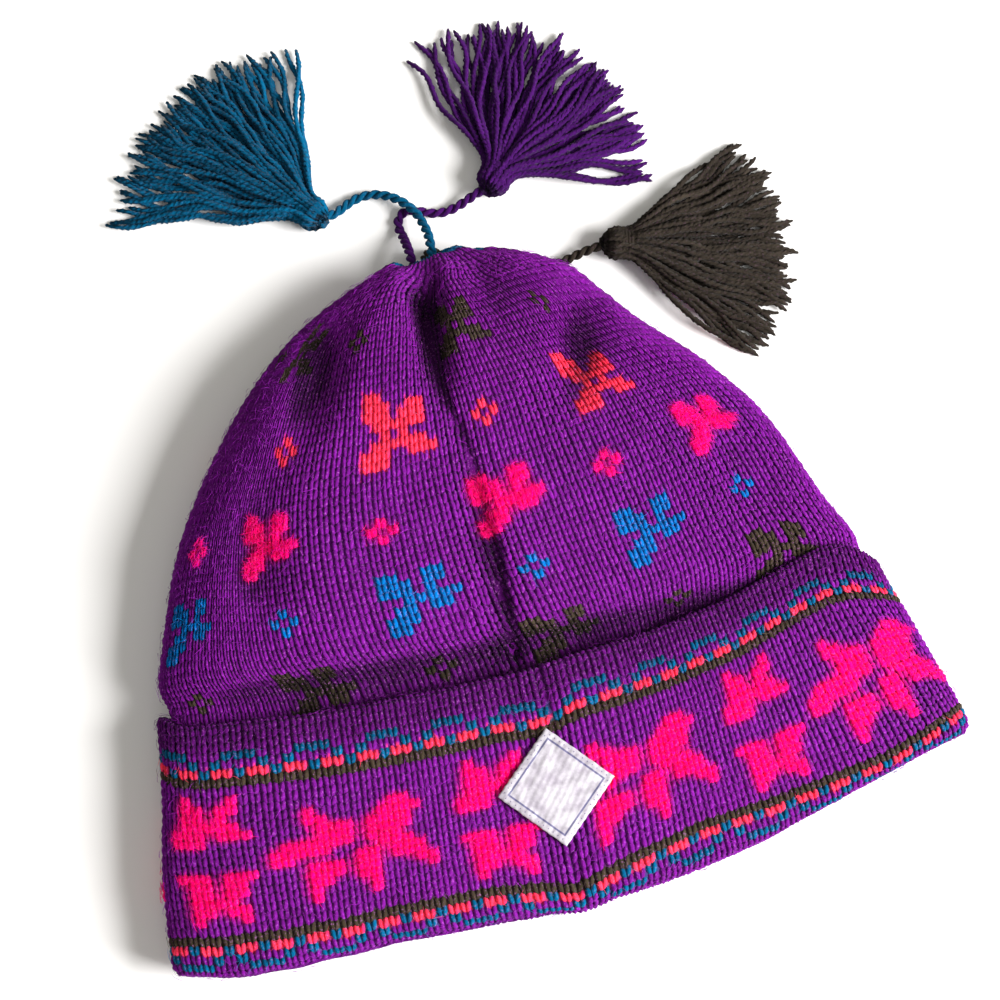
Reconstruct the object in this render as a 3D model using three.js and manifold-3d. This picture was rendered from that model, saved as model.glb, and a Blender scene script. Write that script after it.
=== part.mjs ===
// Knitted ski hat lying flat on its back: a hollow crown drawn together at the top,
// a turned-up cuff with a small sewn patch, and three short twisted cords that come
// out of the gather, each ending in a yarn tassel laid on the surface.
// Units are millimetres. +X runs across the front, +Y from the hem to the crown,
// +Z up from the surface the hat lies on. The front of the hat faces +Z.

import * as THREE from 'three';
import { mergeVertices } from 'three/addons/utils/BufferGeometryUtils.js';
import Module from 'manifold-3d';

const wasm = await Module();
wasm.setup();

// Driving sizes
const KNIT_WALL = 3.4;          // thickness of the stranded double knit
const CUFF_WALL = 4.2;          // the cuff is a little fuller than the body
const SEAT = 0.4;               // gap between two layers that touch
const AROUND = 72;              // faces round the hat
const FRONT_EXPONENT = 2.5;     // how blunt the flattened tube's front is
const BACK_EXPONENT = 3.6;      // the back is pressed flat by the surface
const BACK_SINK = 1.5;          // how far the back would hang below the surface it is flattened on
const CORD_DIAMETER = 3.3;
const CORD_SIDES = 8;
const PATCH_SIDE = 25;          // square patch, sewn on as a diamond
const PATCH_THICKNESS = 0.9;
const PATCH_STEPS = 8;
const FRAME_SHIFT = 1.94;       // puts the middle of the hat's own box, without cords, at the origin

// A table with named columns: each row becomes an object keyed by the columns.
function table(columns, rows) {
  return rows.map((row) => Object.fromEntries(columns.map((key, i) => [key, row[i]])));
}

// The crown's sections from the rim to the gather. left, right: where the side folds lie.
// upLeft, upMid, upRight: how far up the same round of stitches lies at the left fold, the
// middle and the right fold. front, side, back: heights of the front, the folds, the underside.
const CROWN_SECTIONS = table(
  ['left', 'right', 'upLeft', 'upMid', 'upRight', 'front', 'side', 'back'],
  [
    [-123.0, 123.0, -92.0, -103.4, -82.5, 23.0, 12.6, 4.6],
    [-120.6, 119.4, -70.0, -81.0, -66.5, 26.0, 12.6, 4.6],
    [-115.4, 115.0, -45.0, -56.5, -48.0, 28.0, 12.6, 4.6],
    [-112.2, 110.8, -21.0, -31.5, -29.0, 28.0, 12.4, 4.6],
    [-113.8, 110.8, -12.0, -22.0, -20.0, 32.5, 12.0, 0.0],
    [-109.0, 104.5, 3.5, -5.0, -4.0, 35.5, 12.0, 0.0],
    [-98.2, 94.2, 30.3, 21.0, 26.5, 37.5, 12.0, 0.0],
    [-79.6, 80.4, 58.0, 46.0, 48.0, 37.5, 12.0, 0.0],
    [-60.2, 62.4, 79.0, 70.0, 68.5, 34.5, 12.5, 0.0],
    [-41.2, 46.0, 93.0, 89.5, 91.0, 29.5, 13.0, 0.8],
    [-24.0, 32.0, 100.5, 100.6, 99.0, 24.5, 13.0, 3.6],
    [-12.5, 19.0, 104.0, 106.0, 104.0, 19.5, 12.5, 6.0],
    [-7.0, 8.0, 104.0, 105.0, 105.5, 16.5, 12.0, 7.4],
  ],
);
const CUFF_TOP_SECTION = 3;     // the section that the cuff's upper fold lies on
const GATHER = { x: 0.5, y: 100.5, z: 12.0 };
const DOME_RISE = 3;            // how far the hollow's rounded end reaches past its last section

// Folds pressed into the knit. Each runs from its upper end to its lower end and is deepest at
// its peak (0 upper end, 1 lower end). panel 1 is the front, -1 the back.
const FOLDS = table(
  ['name', 'panel', 'xTop', 'yTop', 'xLow', 'yLow', 'depth', 'width', 'peak'],
  [
    ['gather crease', 1, -0.5, 112, -9.0, 36, 13.0, 5.0, 0.3],
    ['seam groove', 1, -4.0, 44, -5.5, -34, 3.2, 4.0, 0.75],
    ['left hollow', 1, -30, 98, -56, 38, 7.5, 9.0, 0.45],
    ['left side hollow', 1, -62, 58, -80, -12, 4.0, 10.0, 0.6],
    ['right of lobe', 1, 16, 110, 14, 52, 3.6, 7.0, 0.25],
    ['right hollow', 1, 48, 88, 30, 22, 5.0, 9.0, 0.45],
    ['right side hollow', 1, 74, 44, 84, -16, 4.0, 9.0, 0.5],
    ['back crease', -1, 2, 112, 6, 62, 4.5, 7.0, 0.2],
  ],
);
const PLEATS = { count: 9, depth: 1.5, from: 9.0, to: 11.4 };

// The hem isn't straight: how far up it stands at places across the hat. The wave dies out
// above HEM_WAVE_TOP, a place in the table of sections.
const HEM_WAVE = table(
  ['x', 'up'],
  [
    [-124, -1.5], [-110, -2.5], [-95, -1.4], [-78, 0.6], [-58, 2.3], [-30, 1.8], [-14, 0.6], [-2, -1.6],
    [8, -0.6], [26, -0.8], [56, -0.4], [72, 0.8], [90, 1.3], [112, 1.1], [124, 0.0],
  ],
);
const HEM_WAVE_TOP = 1.6;

// Tassels. x, y: the head. from, to: the fan's two edges in degrees from +X. start, middle,
// end: lengths of the locks across the fan.
const TASSELS = table(
  ['name', 'colour', 'x', 'y', 'from', 'to', 'start', 'middle', 'end', 'locks'],
  [
    ['tassel_teal', 0x00637f, -29.6, 131.4, 80, 170, 67, 73, 74, 9],
    ['tassel_purple', 0x4b1478, 29.0, 128.6, 106, -20, 61, 64, 55, 9],
    ['tassel_charcoal', 0x3b342b, 62.6, 98.6, 27, -58, 60, 65.5, 62, 8],
  ],
);
const HEAD_RADII = { along: 7.0, across: 5.6, high: 5.2 };
const HEAD_RISE = 5.5;
const LOCK_SIDES = 6;
const LOCK_BEND = 0.03;         // how far a lock bows sideways, as a share of its length
const LOCK_STAGGER = 2.5;       // neighbouring locks end this much shorter
// Stations along a lock: share of its length, half width, half height, height of its middle.
const LOCK_STATIONS = table(
  ['along', 'wide', 'high', 'rise'],
  [
    [0.0, 2.8, 2.6, 5.6],
    [0.22, 4.6, 4.4, 6.4],
    [0.55, 6.0, 4.4, 5.4],
    [0.84, 4.8, 2.8, 3.4],
    [1.0, 1.6, 0.9, 1.6],
  ],
);

// Cord routes, from the gather to just inside the tassel's head.
const CORDS = [
  {
    name: 'cord_teal',
    colour: 0x005a6e,
    route: [
      [3.34, 104.7, 13.2], [3.74, 108.27, 12.37], [4.06, 111.79, 11.31], [4.21, 115.13, 9.76],
      [3.94, 118.48, 8.24], [3.32, 121.87, 6.91], [2.34, 125.27, 5.89], [0.63, 128.46, 5.22],
      [-1.58, 131.32, 4.51], [-4.13, 133.8, 3.55], [-7.11, 135.76, 2.63], [-10.48, 137.02, 1.89],
      [-14.15, 137.12, 1.8], [-17.69, 136.18, 1.98], [-20.87, 134.45, 2.68], [-23.8, 132.65, 4],
    ],
  },
  {
    name: 'cord_purple',
    colour: 0x4a1560,
    route: [
      [-3.4, 104.4, 13], [-3.39, 107.76, 11.82], [-3.4, 111.01, 10.36], [-3.47, 113.85, 8.21],
      [-3.61, 116.55, 5.89], [-3.83, 119.34, 3.68], [-4.24, 122.5, 2.1], [-3.63, 125.96, 1.8],
      [-1.05, 128.18, 1.8], [2.41, 127.92, 1.8], [5.6, 126.33, 1.8], [8.95, 125.12, 1.8],
      [12.48, 124.79, 1.85], [15.99, 125.32, 2.13], [19.35, 126.14, 3], [22.6, 127.1, 4.1],
    ],
  },
  {
    name: 'cord_charcoal',
    colour: 0x3b342b,
    route: [
      [0.2, 103, 12], [0.6, 105.2, 10.2], [1.2, 107.6, 8], [2.6, 110.1, 5.4], [5.7, 110.79, 3.15],
      [9.38, 109.39, 2.09],
      [13.03, 107.55, 1.8], [16.63, 105.58, 1.8], [20.33, 103.79, 1.8], [24.1, 102.16, 1.8],
      [27.97, 100.77, 1.8], [31.88, 99.52, 1.8], [35.82, 98.36, 1.8], [39.85, 97.57, 1.8],
      [43.95, 97.32, 1.82], [48.01, 97.87, 2.07], [51.95, 98.4, 3.08], [55.85, 98.6, 4.35],
    ],
  },
];

// Small maths

const lerp = (a, b, k) => a + (b - a) * k;
const clamp = (value, low, high) => Math.min(high, Math.max(low, value));
const signedPower = (value, power) => Math.sign(value) * Math.abs(value) ** power;

function smoothstep(low, high, value) {
  const k = clamp((value - low) / (high - low), 0, 1);
  return k * k * (3 - 2 * k);
}

// Smooth curve through evenly spaced values that never overshoots them.
function monotone(values, at) {
  const last = values.length - 1;
  const i = clamp(Math.floor(at), 0, last - 1);
  const k = at - i;
  const step = (n) => values[clamp(n + 1, 0, last)] - values[clamp(n, 0, last)];
  const slope = (n) => {
    const before = n > 0 ? step(n - 1) : step(n);
    const after = n < last ? step(n) : before;
    return before * after <= 0 ? 0 : (2 * before * after) / (before + after);
  };
  const h = values[i + 1] - values[i];
  const a = slope(i);
  const b = slope(i + 1);
  return values[i] + k * (a + k * (3 * h - 2 * a - b + k * (a + b - 2 * h)));
}

// One section of the crown, at any place between the rows of the table.
function sectionAt(v) {
  const row = {};
  for (const key of Object.keys(CROWN_SECTIONS[0])) {
    row[key] = monotone(CROWN_SECTIONS.map((section) => section[key]), v);
  }
  return row;
}

// How deep a fold is at a place on its panel: a rounded groove whose depth rises from its
// two ends to its peak.
function foldDepth(fold, x, y, spread) {
  const along = (fold.yTop - y) / (fold.yTop - fold.yLow);
  if (along <= 0 || along >= 1) return 0;
  const rise = along < fold.peak
    ? smoothstep(-0.15, 1, along / fold.peak)
    : 1 - smoothstep(0, 1, (along - fold.peak) / (1 - fold.peak));
  const offset = (x - lerp(fold.xTop, fold.xLow, along)) / (fold.width + spread);
  return fold.depth * rise * Math.exp(-offset * offset);
}

// How far the hem's wave lifts the knit at a place across the hat.
function hemLift(v, x) {
  const fade = 1 - smoothstep(0, HEM_WAVE_TOP, v);
  if (fade <= 0) return 0;
  const last = HEM_WAVE.length - 1;
  const next = clamp(HEM_WAVE.findIndex((row) => row.x > x), 0, last);
  const b = x >= HEM_WAVE[last].x ? HEM_WAVE[last] : HEM_WAVE[next];
  const a = HEM_WAVE[Math.max(0, HEM_WAVE.indexOf(b) - 1)];
  return fade * lerp(a.up, b.up, smoothstep(a.x, b.x + 1e-6, x));
}

// A point of the knit. v: place in the table of sections, angle: round the hat from the right
// fold over the front, grow: how far outside (or, below zero, inside) the crown's outer face.
function knitPoint(v, angle, grow) {
  const s = sectionAt(v);
  const c = Math.cos(angle);
  const n = Math.sin(angle);
  const middle = (s.left + s.right) / 2;
  const half = (s.right - s.left) / 2 + grow;
  const across = signedPower(c, 2 / FRONT_EXPONENT);
  const x = middle + half * across;
  let y = s.upMid + (s.upRight - s.upLeft) / 2 * across
    + ((s.upRight + s.upLeft) / 2 - s.upMid) * across * across;
  let z;
  if (n >= 0) {
    z = s.side + (s.front - s.side + grow) * n ** (2 / FRONT_EXPONENT);
  } else {
    const floor = s.back - grow;
    z = s.side - (s.side - floor + BACK_SINK) * Math.abs(n) ** (2 / BACK_EXPONENT);
    z = Math.max(z, floor);
  }
  const spread = Math.max(0, -grow) * 0.9;
  const panel = n >= 0 ? 1 : -1;
  let sink = 0;
  for (const fold of FOLDS) {
    if (fold.panel === panel) sink += foldDepth(fold, x, y, spread);
  }
  const pleat = PLEATS.depth * smoothstep(PLEATS.from, PLEATS.to, v) * Math.cos(PLEATS.count * angle);
  sink = sink * Math.sqrt(Math.abs(n)) + (grow < 0 ? 0 : pleat);
  const lean = smoothstep(78, 106, y) * Math.PI * 0.42;
  z -= panel * sink * Math.cos(lean);
  y -= sink * Math.sin(lean) * 0.8;
  if (grow < 0) y += grow * smoothstep(7, 10, v);
  y += hemLift(v, x);
  return new THREE.Vector3(x, y, z);
}

// Rings and skins

function ringOf(count, place) {
  const ring = [];
  for (let i = 0; i < count; i += 1) ring.push(place((i / count) * Math.PI * 2));
  return ring;
}

// Closes a stack of equal rings into one mesh. ends: a point that closes each end, or 'loop'
// when the last ring meets the first.
function skin(rings, ends) {
  const positions = [];
  const index = [];
  const count = rings[0].length;
  for (const ring of rings) {
    for (const p of ring) positions.push(p.x, p.y, p.z);
  }
  const bands = ends === 'loop' ? rings.length : rings.length - 1;
  for (let r = 0; r < bands; r += 1) {
    const next = (r + 1) % rings.length;
    for (let i = 0; i < count; i += 1) {
      const j = (i + 1) % count;
      const a = r * count + i;
      const b = r * count + j;
      const c = next * count + j;
      const d = next * count + i;
      index.push(a, b, c, a, c, d);
    }
  }
  if (ends !== 'loop') {
    const lastRing = (rings.length - 1) * count;
    const first = positions.length / 3;
    positions.push(ends[0].x, ends[0].y, ends[0].z, ends[1].x, ends[1].y, ends[1].z);
    for (let i = 0; i < count; i += 1) {
      const j = (i + 1) % count;
      index.push(first, j, i);
      index.push(first + 1, lastRing + i, lastRing + j);
    }
  }
  const geometry = new THREE.BufferGeometry();
  geometry.setAttribute('position', new THREE.Float32BufferAttribute(positions, 3));
  geometry.setIndex(index);
  return geometry;
}

function named(name, geometry, colour, roughness) {
  geometry.computeVertexNormals();
  const material = new THREE.MeshStandardMaterial({ color: colour, roughness, metalness: 0 });
  const mesh = new THREE.Mesh(geometry, material);
  mesh.name = name;
  return mesh;
}

function centreOf(ring) {
  const centre = new THREE.Vector3();
  for (const p of ring) centre.add(p);
  return centre.divideScalar(ring.length);
}

// Pieces of the hat

const CUFF_STATIONS = [0, 1, 2, CUFF_TOP_SECTION];

// The crown: outer face from the gather down to the rim, inner face back up inside it.
function crown() {
  const outerStations = [12, 11.5, 11, 10.5, 10, 9.5, 9, 8.5, 8, 7.5, 7, 6.5, 6, 5.5, 5, 4.5, 4, 3.5];
  const innerStations = [3.4, 4, 5, 5.8, 6.6, 7.3, 8, 8.6, 9.2];
  const outer = [...outerStations, ...CUFF_STATIONS.toReversed()]
    .map((v) => ringOf(AROUND, (a) => knitPoint(v, a, 0)));
  const inner = [...CUFF_STATIONS, ...innerStations]
    .map((v) => ringOf(AROUND, (a) => knitPoint(v, a, -KNIT_WALL)));
  const lastRing = inner[inner.length - 1];
  const dome = centreOf(lastRing);
  const cap = [0.7, 0.3].map((share) => lastRing.map((p) => {
    const q = dome.clone().lerp(p, share);
    q.y += (1 - share) * DOME_RISE;
    return q;
  }));
  dome.y += DOME_RISE;
  return skin([...outer, ...inner, ...cap], [new THREE.Vector3(GATHER.x, GATHER.y, GATHER.z), dome]);
}

// The cuff's own section, as pairs of a height above the crown's rim and a distance outside the
// crown: up the outer face, over the upper fold, down the inner face and round the hem fold,
// which turns in under the crown's rim.
function cuffProfile() {
  const profile = [];
  const outer = SEAT + CUFF_WALL;
  const foldMiddle = (outer - KNIT_WALL) / 2;
  const foldRadius = (outer + KNIT_WALL) / 2;
  const hemRise = -SEAT - 1.2;
  profile.push({ station: 0, up: -SEAT, grow: SEAT });
  profile.push({ station: 0, up: -SEAT, grow: -KNIT_WALL });
  for (const degrees of [0, 36, 72, 108, 144, 180]) {
    const a = THREE.MathUtils.degToRad(degrees);
    profile.push({
      station: 0,
      up: hemRise - foldRadius * Math.sin(a),
      grow: foldMiddle - foldRadius * Math.cos(a),
    });
  }
  for (const station of [0.35, 1, 2, 2.75]) profile.push({ station, up: 0, grow: outer });
  for (const degrees of [45, 90, 135]) {
    const a = THREE.MathUtils.degToRad(degrees);
    profile.push({
      station: 2.92,
      up: CUFF_WALL / 2 * Math.sin(a) - CUFF_WALL / 2,
      grow: SEAT + CUFF_WALL / 2 + CUFF_WALL / 2 * Math.cos(a),
    });
  }
  for (const station of [2.75, 2, 1]) profile.push({ station, up: 0, grow: SEAT });
  return profile;
}

function cuff() {
  const rings = cuffProfile().toReversed().map(({ station, up, grow }) => ringOf(AROUND, (a) => {
    const p = knitPoint(station, a, grow);
    p.y += up;
    return p;
  }));
  return skin(rings, 'loop');
}

// The patch: a thin square of cloth sewn flat on the cuff's front, turned to a diamond.
const PATCH_CENTRE = { x: -2.6, y: -73.6, turn: 40.5 };

function cuffFace(x, y, lift) {
  let low = 0;
  let high = CUFF_TOP_SECTION;
  const angleFor = (v) => {
    const s = sectionAt(v);
    const half = (s.right - s.left) / 2 + SEAT + CUFF_WALL;
    const share = clamp((x - (s.left + s.right) / 2) / half, -1, 1);
    return Math.acos(signedPower(share, FRONT_EXPONENT / 2));
  };
  for (let i = 0; i < 24; i += 1) {
    const v = (low + high) / 2;
    if (knitPoint(v, angleFor(v), SEAT + CUFF_WALL).y < y) low = v;
    else high = v;
  }
  const p = knitPoint(low, angleFor(low), SEAT + CUFF_WALL);
  p.z += lift;
  return p;
}

function patch() {
  const turn = THREE.MathUtils.degToRad(PATCH_CENTRE.turn);
  const face = (lift) => {
    const points = [];
    for (let i = 0; i <= PATCH_STEPS; i += 1) {
      for (let j = 0; j <= PATCH_STEPS; j += 1) {
        const a = (i / PATCH_STEPS - 0.5) * PATCH_SIDE;
        const b = (j / PATCH_STEPS - 0.5) * PATCH_SIDE;
        points.push(cuffFace(
          PATCH_CENTRE.x + a * Math.cos(turn) - b * Math.sin(turn),
          PATCH_CENTRE.y + a * Math.sin(turn) + b * Math.cos(turn),
          lift,
        ));
      }
    }
    return points;
  };
  const row = PATCH_STEPS + 1;
  const upper = face(SEAT + PATCH_THICKNESS);
  const lower = face(SEAT);
  const index = [];
  for (let i = 0; i < PATCH_STEPS; i += 1) {
    for (let j = 0; j < PATCH_STEPS; j += 1) {
      const a = i * row + j;
      const b = (i + 1) * row + j;
      index.push(a, b, b + 1, a, b + 1, a + 1);
      const base = row * row;
      index.push(base + a, base + b + 1, base + b, base + a, base + a + 1, base + b + 1);
    }
  }
  const edge = [];
  for (let i = 0; i < PATCH_STEPS; i += 1) edge.push([i * row, (i + 1) * row]);
  for (let j = 0; j < PATCH_STEPS; j += 1) edge.push([PATCH_STEPS * row + j, PATCH_STEPS * row + j + 1]);
  for (let i = PATCH_STEPS; i > 0; i -= 1) edge.push([i * row + PATCH_STEPS, (i - 1) * row + PATCH_STEPS]);
  for (let j = PATCH_STEPS; j > 0; j -= 1) edge.push([j, j - 1]);
  for (const [p, q] of edge) {
    const base = row * row;
    index.push(p, base + p, base + q, p, base + q, q);
  }
  const positions = [...upper, ...lower].flatMap((p) => [p.x, p.y, p.z]);
  const geometry = new THREE.BufferGeometry();
  geometry.setAttribute('position', new THREE.Float32BufferAttribute(positions, 3));
  geometry.setIndex(index);
  return geometry;
}

// Cords and tassels

function cordTube(route) {
  const points = route.map((p) => new THREE.Vector3(...p));
  const curve = new THREE.CatmullRomCurve3(points, false, 'centripetal');
  const section = new THREE.Shape();
  for (let i = 0; i < CORD_SIDES; i += 1) {
    const a = ((i + 0.5) / CORD_SIDES) * Math.PI * 2;
    const x = Math.cos(a) * CORD_DIAMETER / 2;
    const y = Math.sin(a) * CORD_DIAMETER / 2;
    if (i === 0) section.moveTo(x, y);
    else section.lineTo(x, y);
  }
  section.closePath();
  const steps = Math.round(curve.getLength() / (CORD_DIAMETER * 1.3));
  return new THREE.ExtrudeGeometry(section, { steps, extrudePath: curve, bevelEnabled: false });
}

function toSolid(geometry) {
  const bare = geometry.clone();
  bare.deleteAttribute('normal');
  bare.deleteAttribute('uv');
  const merged = mergeVertices(bare, 1e-4);
  return new wasm.Manifold(new wasm.Mesh({
    numProp: 3,
    vertProperties: new Float32Array(merged.attributes.position.array),
    triVerts: new Uint32Array(merged.index.array),
  }));
}

function fromSolid(solid) {
  const mesh = solid.getMesh();
  const geometry = new THREE.BufferGeometry();
  geometry.setAttribute('position', new THREE.BufferAttribute(new Float32Array(mesh.vertProperties), 3));
  geometry.setIndex(new THREE.BufferAttribute(new Uint32Array(mesh.triVerts), 1));
  return geometry;
}

// One lock of yarn: a soft tapering tube that leaves the head and comes down to its tip.
function lockOfYarn(head, angle, length, order) {
  const direction = new THREE.Vector3(Math.cos(angle), Math.sin(angle), 0);
  const side = new THREE.Vector3(-Math.sin(angle), Math.cos(angle), 0);
  const up = new THREE.Vector3(0, 0, 1);
  const bend = (order % 2 === 0 ? 1 : -1) * LOCK_BEND * length;
  const rings = LOCK_STATIONS.map((station) => {
    const centre = head.clone()
      .addScaledVector(direction, station.along * length)
      .addScaledVector(side, bend * Math.sin(station.along * Math.PI));
    centre.z = station.rise;
    return ringOf(LOCK_SIDES, (a) => centre.clone()
      .addScaledVector(side, station.wide * Math.cos(a))
      .addScaledVector(up, station.high * Math.sin(a)));
  });
  const start = head.clone();
  start.z = LOCK_STATIONS[0].rise;
  const tip = centreOf(rings[rings.length - 1]).addScaledVector(direction, 1.2);
  return skin(rings, [start.addScaledVector(direction, -0.8), tip]);
}

function tassel({ x, y, from, to, start, middle, end, locks }) {
  const head = new THREE.Vector3(x, y, HEAD_RISE);
  const aim = THREE.MathUtils.degToRad((from + to) / 2);
  const ball = new THREE.SphereGeometry(1, 10, 8);
  ball.scale(HEAD_RADII.along, HEAD_RADII.across, HEAD_RADII.high);
  ball.rotateZ(aim);
  ball.translate(head.x, head.y, head.z);
  let body = toSolid(ball);
  for (let i = 0; i < locks; i += 1) {
    const share = i / (locks - 1);
    const angle = THREE.MathUtils.degToRad(lerp(from, to, share));
    const length = share < 0.5 ? lerp(start, middle, share * 2) : lerp(middle, end, share * 2 - 1);
    body = body.add(toSolid(lockOfYarn(head, angle, length - (i % 3) * LOCK_STAGGER, i)));
  }
  return fromSolid(body);
}

// The whole hat

const hat = new THREE.Group();
const PURPLE = 0x4f1273;
hat.add(named('crown', crown(), PURPLE, 0.95));
hat.add(named('cuff', cuff(), PURPLE, 0.95));
hat.add(named('label_patch', patch(), 0xd8d3dc, 0.55));
for (const cord of CORDS) hat.add(named(cord.name, cordTube(cord.route), cord.colour, 0.9));
for (const spec of TASSELS) hat.add(named(spec.name, tassel(spec), spec.colour, 0.95));

for (const piece of hat.children) piece.geometry.translate(0, FRAME_SHIFT, 0);

export default hat;
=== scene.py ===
import logging
import math
from dataclasses import dataclass, field
from enum import Enum
from typing import Callable, Optional, Sequence

import bpy
import numpy as np
from mathutils import Matrix, Vector


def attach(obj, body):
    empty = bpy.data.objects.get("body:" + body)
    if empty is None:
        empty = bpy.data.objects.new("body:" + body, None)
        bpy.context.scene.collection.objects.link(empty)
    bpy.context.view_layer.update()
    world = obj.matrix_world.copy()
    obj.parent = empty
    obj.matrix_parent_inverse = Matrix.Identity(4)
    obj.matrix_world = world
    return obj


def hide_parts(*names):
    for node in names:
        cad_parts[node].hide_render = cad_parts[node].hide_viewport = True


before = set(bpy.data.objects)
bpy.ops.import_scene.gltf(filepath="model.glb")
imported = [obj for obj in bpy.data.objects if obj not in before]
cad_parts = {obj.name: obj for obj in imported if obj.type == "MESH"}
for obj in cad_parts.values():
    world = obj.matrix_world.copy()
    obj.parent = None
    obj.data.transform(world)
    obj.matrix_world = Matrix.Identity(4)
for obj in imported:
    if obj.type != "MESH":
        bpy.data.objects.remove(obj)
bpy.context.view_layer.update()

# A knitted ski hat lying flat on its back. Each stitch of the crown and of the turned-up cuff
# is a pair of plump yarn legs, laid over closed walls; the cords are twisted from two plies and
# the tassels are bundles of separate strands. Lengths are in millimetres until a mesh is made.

LOG = logging.getLogger("ski hat")
MM = 0.001
SEED = 4107
# puts the middle of the hat's own box, without cords, at the origin
FRAME_SHIFT = np.array([0.0, 1.94, 0.0])
# knit above this height belongs to the hat's front
FRONT_HEIGHT = 14.0
# painted shade between the legs: how much darker the wall under the stitches is than the stitches
WALL_PAINTED_SHADE = 0.85


# Colours and small maths

def linear(red: float, green: float, blue: float) -> np.ndarray:
    """Turns 0-255 display values into linear ones: v/12.92 near black, ((v+0.055)/1.055)^2.4 above."""
    v = np.array([red, green, blue], float) / 255.0
    return np.where(v <= 0.04045, v / 12.92, ((v + 0.055) / 1.055) ** 2.4)


class Yarn(Enum):
    """The yarns that the hat is knitted from, by index in the charts."""

    VIOLET = 0
    PINK = 1
    CORAL = 2
    BLUE = 3
    CHARCOAL = 4
    TEAL = 5


YARN_COLOURS = np.array([
    linear(101, 17, 119),
    linear(246, 0, 106),
    linear(240, 50, 80),
    linear(0, 92, 160),
    linear(54, 46, 36),
    linear(0, 80, 118),
])


def smoothstep(low: float, high: float, value: np.ndarray) -> np.ndarray:
    """Rises from 0 at low to 1 at high as k*k*(3 - 2k)."""
    k = np.clip((value - low) / (high - low), 0.0, 1.0)
    return k * k * (3.0 - 2.0 * k)


def signed_power(value: np.ndarray, power: float) -> np.ndarray:
    """The sign of a value times its size to a power."""
    return np.sign(value) * np.abs(value) ** power


def monotone(knots: np.ndarray, values: np.ndarray, at: np.ndarray) -> np.ndarray:
    """A smooth curve through rows of values that never overshoots them.

    Each knot's slope is the weighted harmonic mean of the slopes beside it, or zero where they
    turn, and each span is the cubic with those end slopes.

    Args:
        knots: rising places of the rows, (n,).
        values: the rows, (n, columns).
        at: places to read, any shape.

    Returns:
        The values there, with the columns as the last axis.
    """
    width = np.diff(knots)[:, None]
    secant = np.diff(values, axis=0) / width
    before, after = secant[:-1], secant[1:]
    wide_first, wide_last = 2 * width[1:] + width[:-1], width[1:] + 2 * width[:-1]
    with np.errstate(divide="ignore", invalid="ignore"):
        mean = (wide_first + wide_last) / (wide_first / before + wide_last / after)
    slope = np.vstack([secant[:1], np.where(before * after > 0, mean, 0.0), secant[-1:]])
    at = np.asarray(at, float)
    i = np.clip(np.searchsorted(knots, at, side="right") - 1, 0, len(knots) - 2)
    h = width[i]
    k = ((at - knots[i]) / width[i, 0])[..., None]
    rise = values[i + 1] - values[i]
    a, b = slope[i] * h, slope[i + 1] * h
    return values[i] + k * (a + k * (3 * rise - 2 * a - b + k * (a + b - 2 * rise)))


def unit(vectors: np.ndarray) -> np.ndarray:
    """Vectors scaled to length one."""
    return vectors / np.maximum(np.linalg.norm(vectors, axis=-1, keepdims=True), 1e-9)


# Mesh making

@dataclass
class Skin:
    """Points, faces and colours of one piece before it becomes a mesh."""

    points: np.ndarray
    quads: np.ndarray = field(default_factory=lambda: np.zeros((0, 4), np.int64))
    tris: np.ndarray = field(default_factory=lambda: np.zeros((0, 3), np.int64))
    colours: Optional[np.ndarray] = None
    uv: Optional[np.ndarray] = None

    def triangles(self) -> int:
        """How many triangles the skin has."""
        return 2 * len(self.quads) + len(self.tris)


def join_skins(skins: Sequence[Skin]) -> Skin:
    """Puts several skins into one by stacking their arrays and shifting their faces.

    Args:
        skins: the skins, in order.

    Returns:
        One skin with all their points and faces.
    """
    starts = np.cumsum([0] + [len(s.points) for s in skins[:-1]])
    return Skin(
        np.concatenate([s.points for s in skins]),
        np.concatenate([s.quads + n for s, n in zip(skins, starts)]),
        np.concatenate([s.tris + n for s, n in zip(skins, starts)]),
        np.concatenate([s.colours for s in skins]),
        np.concatenate([s.uv for s in skins]),
    )


def make_piece(name: str, skin: Skin, material: bpy.types.Material) -> bpy.types.Object:
    """Makes a Blender object from a skin, with its UV map and its yarn colours.

    Args:
        name: the piece's name.
        skin: its points in millimetres, faces, colours and UV places.
        material: the finish.

    Returns:
        The new object, at the origin.
    """
    mesh = bpy.data.meshes.new(name)
    mesh.vertices.add(len(skin.points))
    mesh.vertices.foreach_set("co", ((skin.points + FRAME_SHIFT) * MM).astype(np.float32).ravel())
    corners = np.concatenate([skin.quads.ravel(), skin.tris.ravel()]).astype(np.int32)
    starts = np.concatenate([
        np.arange(len(skin.quads)) * 4,
        len(skin.quads) * 4 + np.arange(len(skin.tris)) * 3,
    ]).astype(np.int32)
    mesh.loops.add(len(corners))
    mesh.loops.foreach_set("vertex_index", corners)
    mesh.polygons.add(len(starts))
    mesh.polygons.foreach_set("loop_start", starts)
    mesh.polygons.foreach_set("use_smooth", np.ones(len(starts), bool))
    mesh.update(calc_edges=True)
    if skin.uv is not None:
        layer = mesh.uv_layers.new(name="UVMap")
        layer.data.foreach_set("uv", skin.uv[corners].astype(np.float32).ravel())
    if skin.colours is not None:
        shade = mesh.color_attributes.new("yarn", "FLOAT_COLOR", "POINT")
        rgba = np.ones((len(skin.points), 4), np.float32)
        rgba[:, :3] = skin.colours
        shade.data.foreach_set("color", rgba.ravel())
    mesh.validate()
    mesh.materials.append(material)
    piece = bpy.data.objects.new(name, mesh)
    bpy.context.scene.collection.objects.link(piece)
    LOG.info("%s: %d triangles", name, skin.triangles())
    return piece


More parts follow.
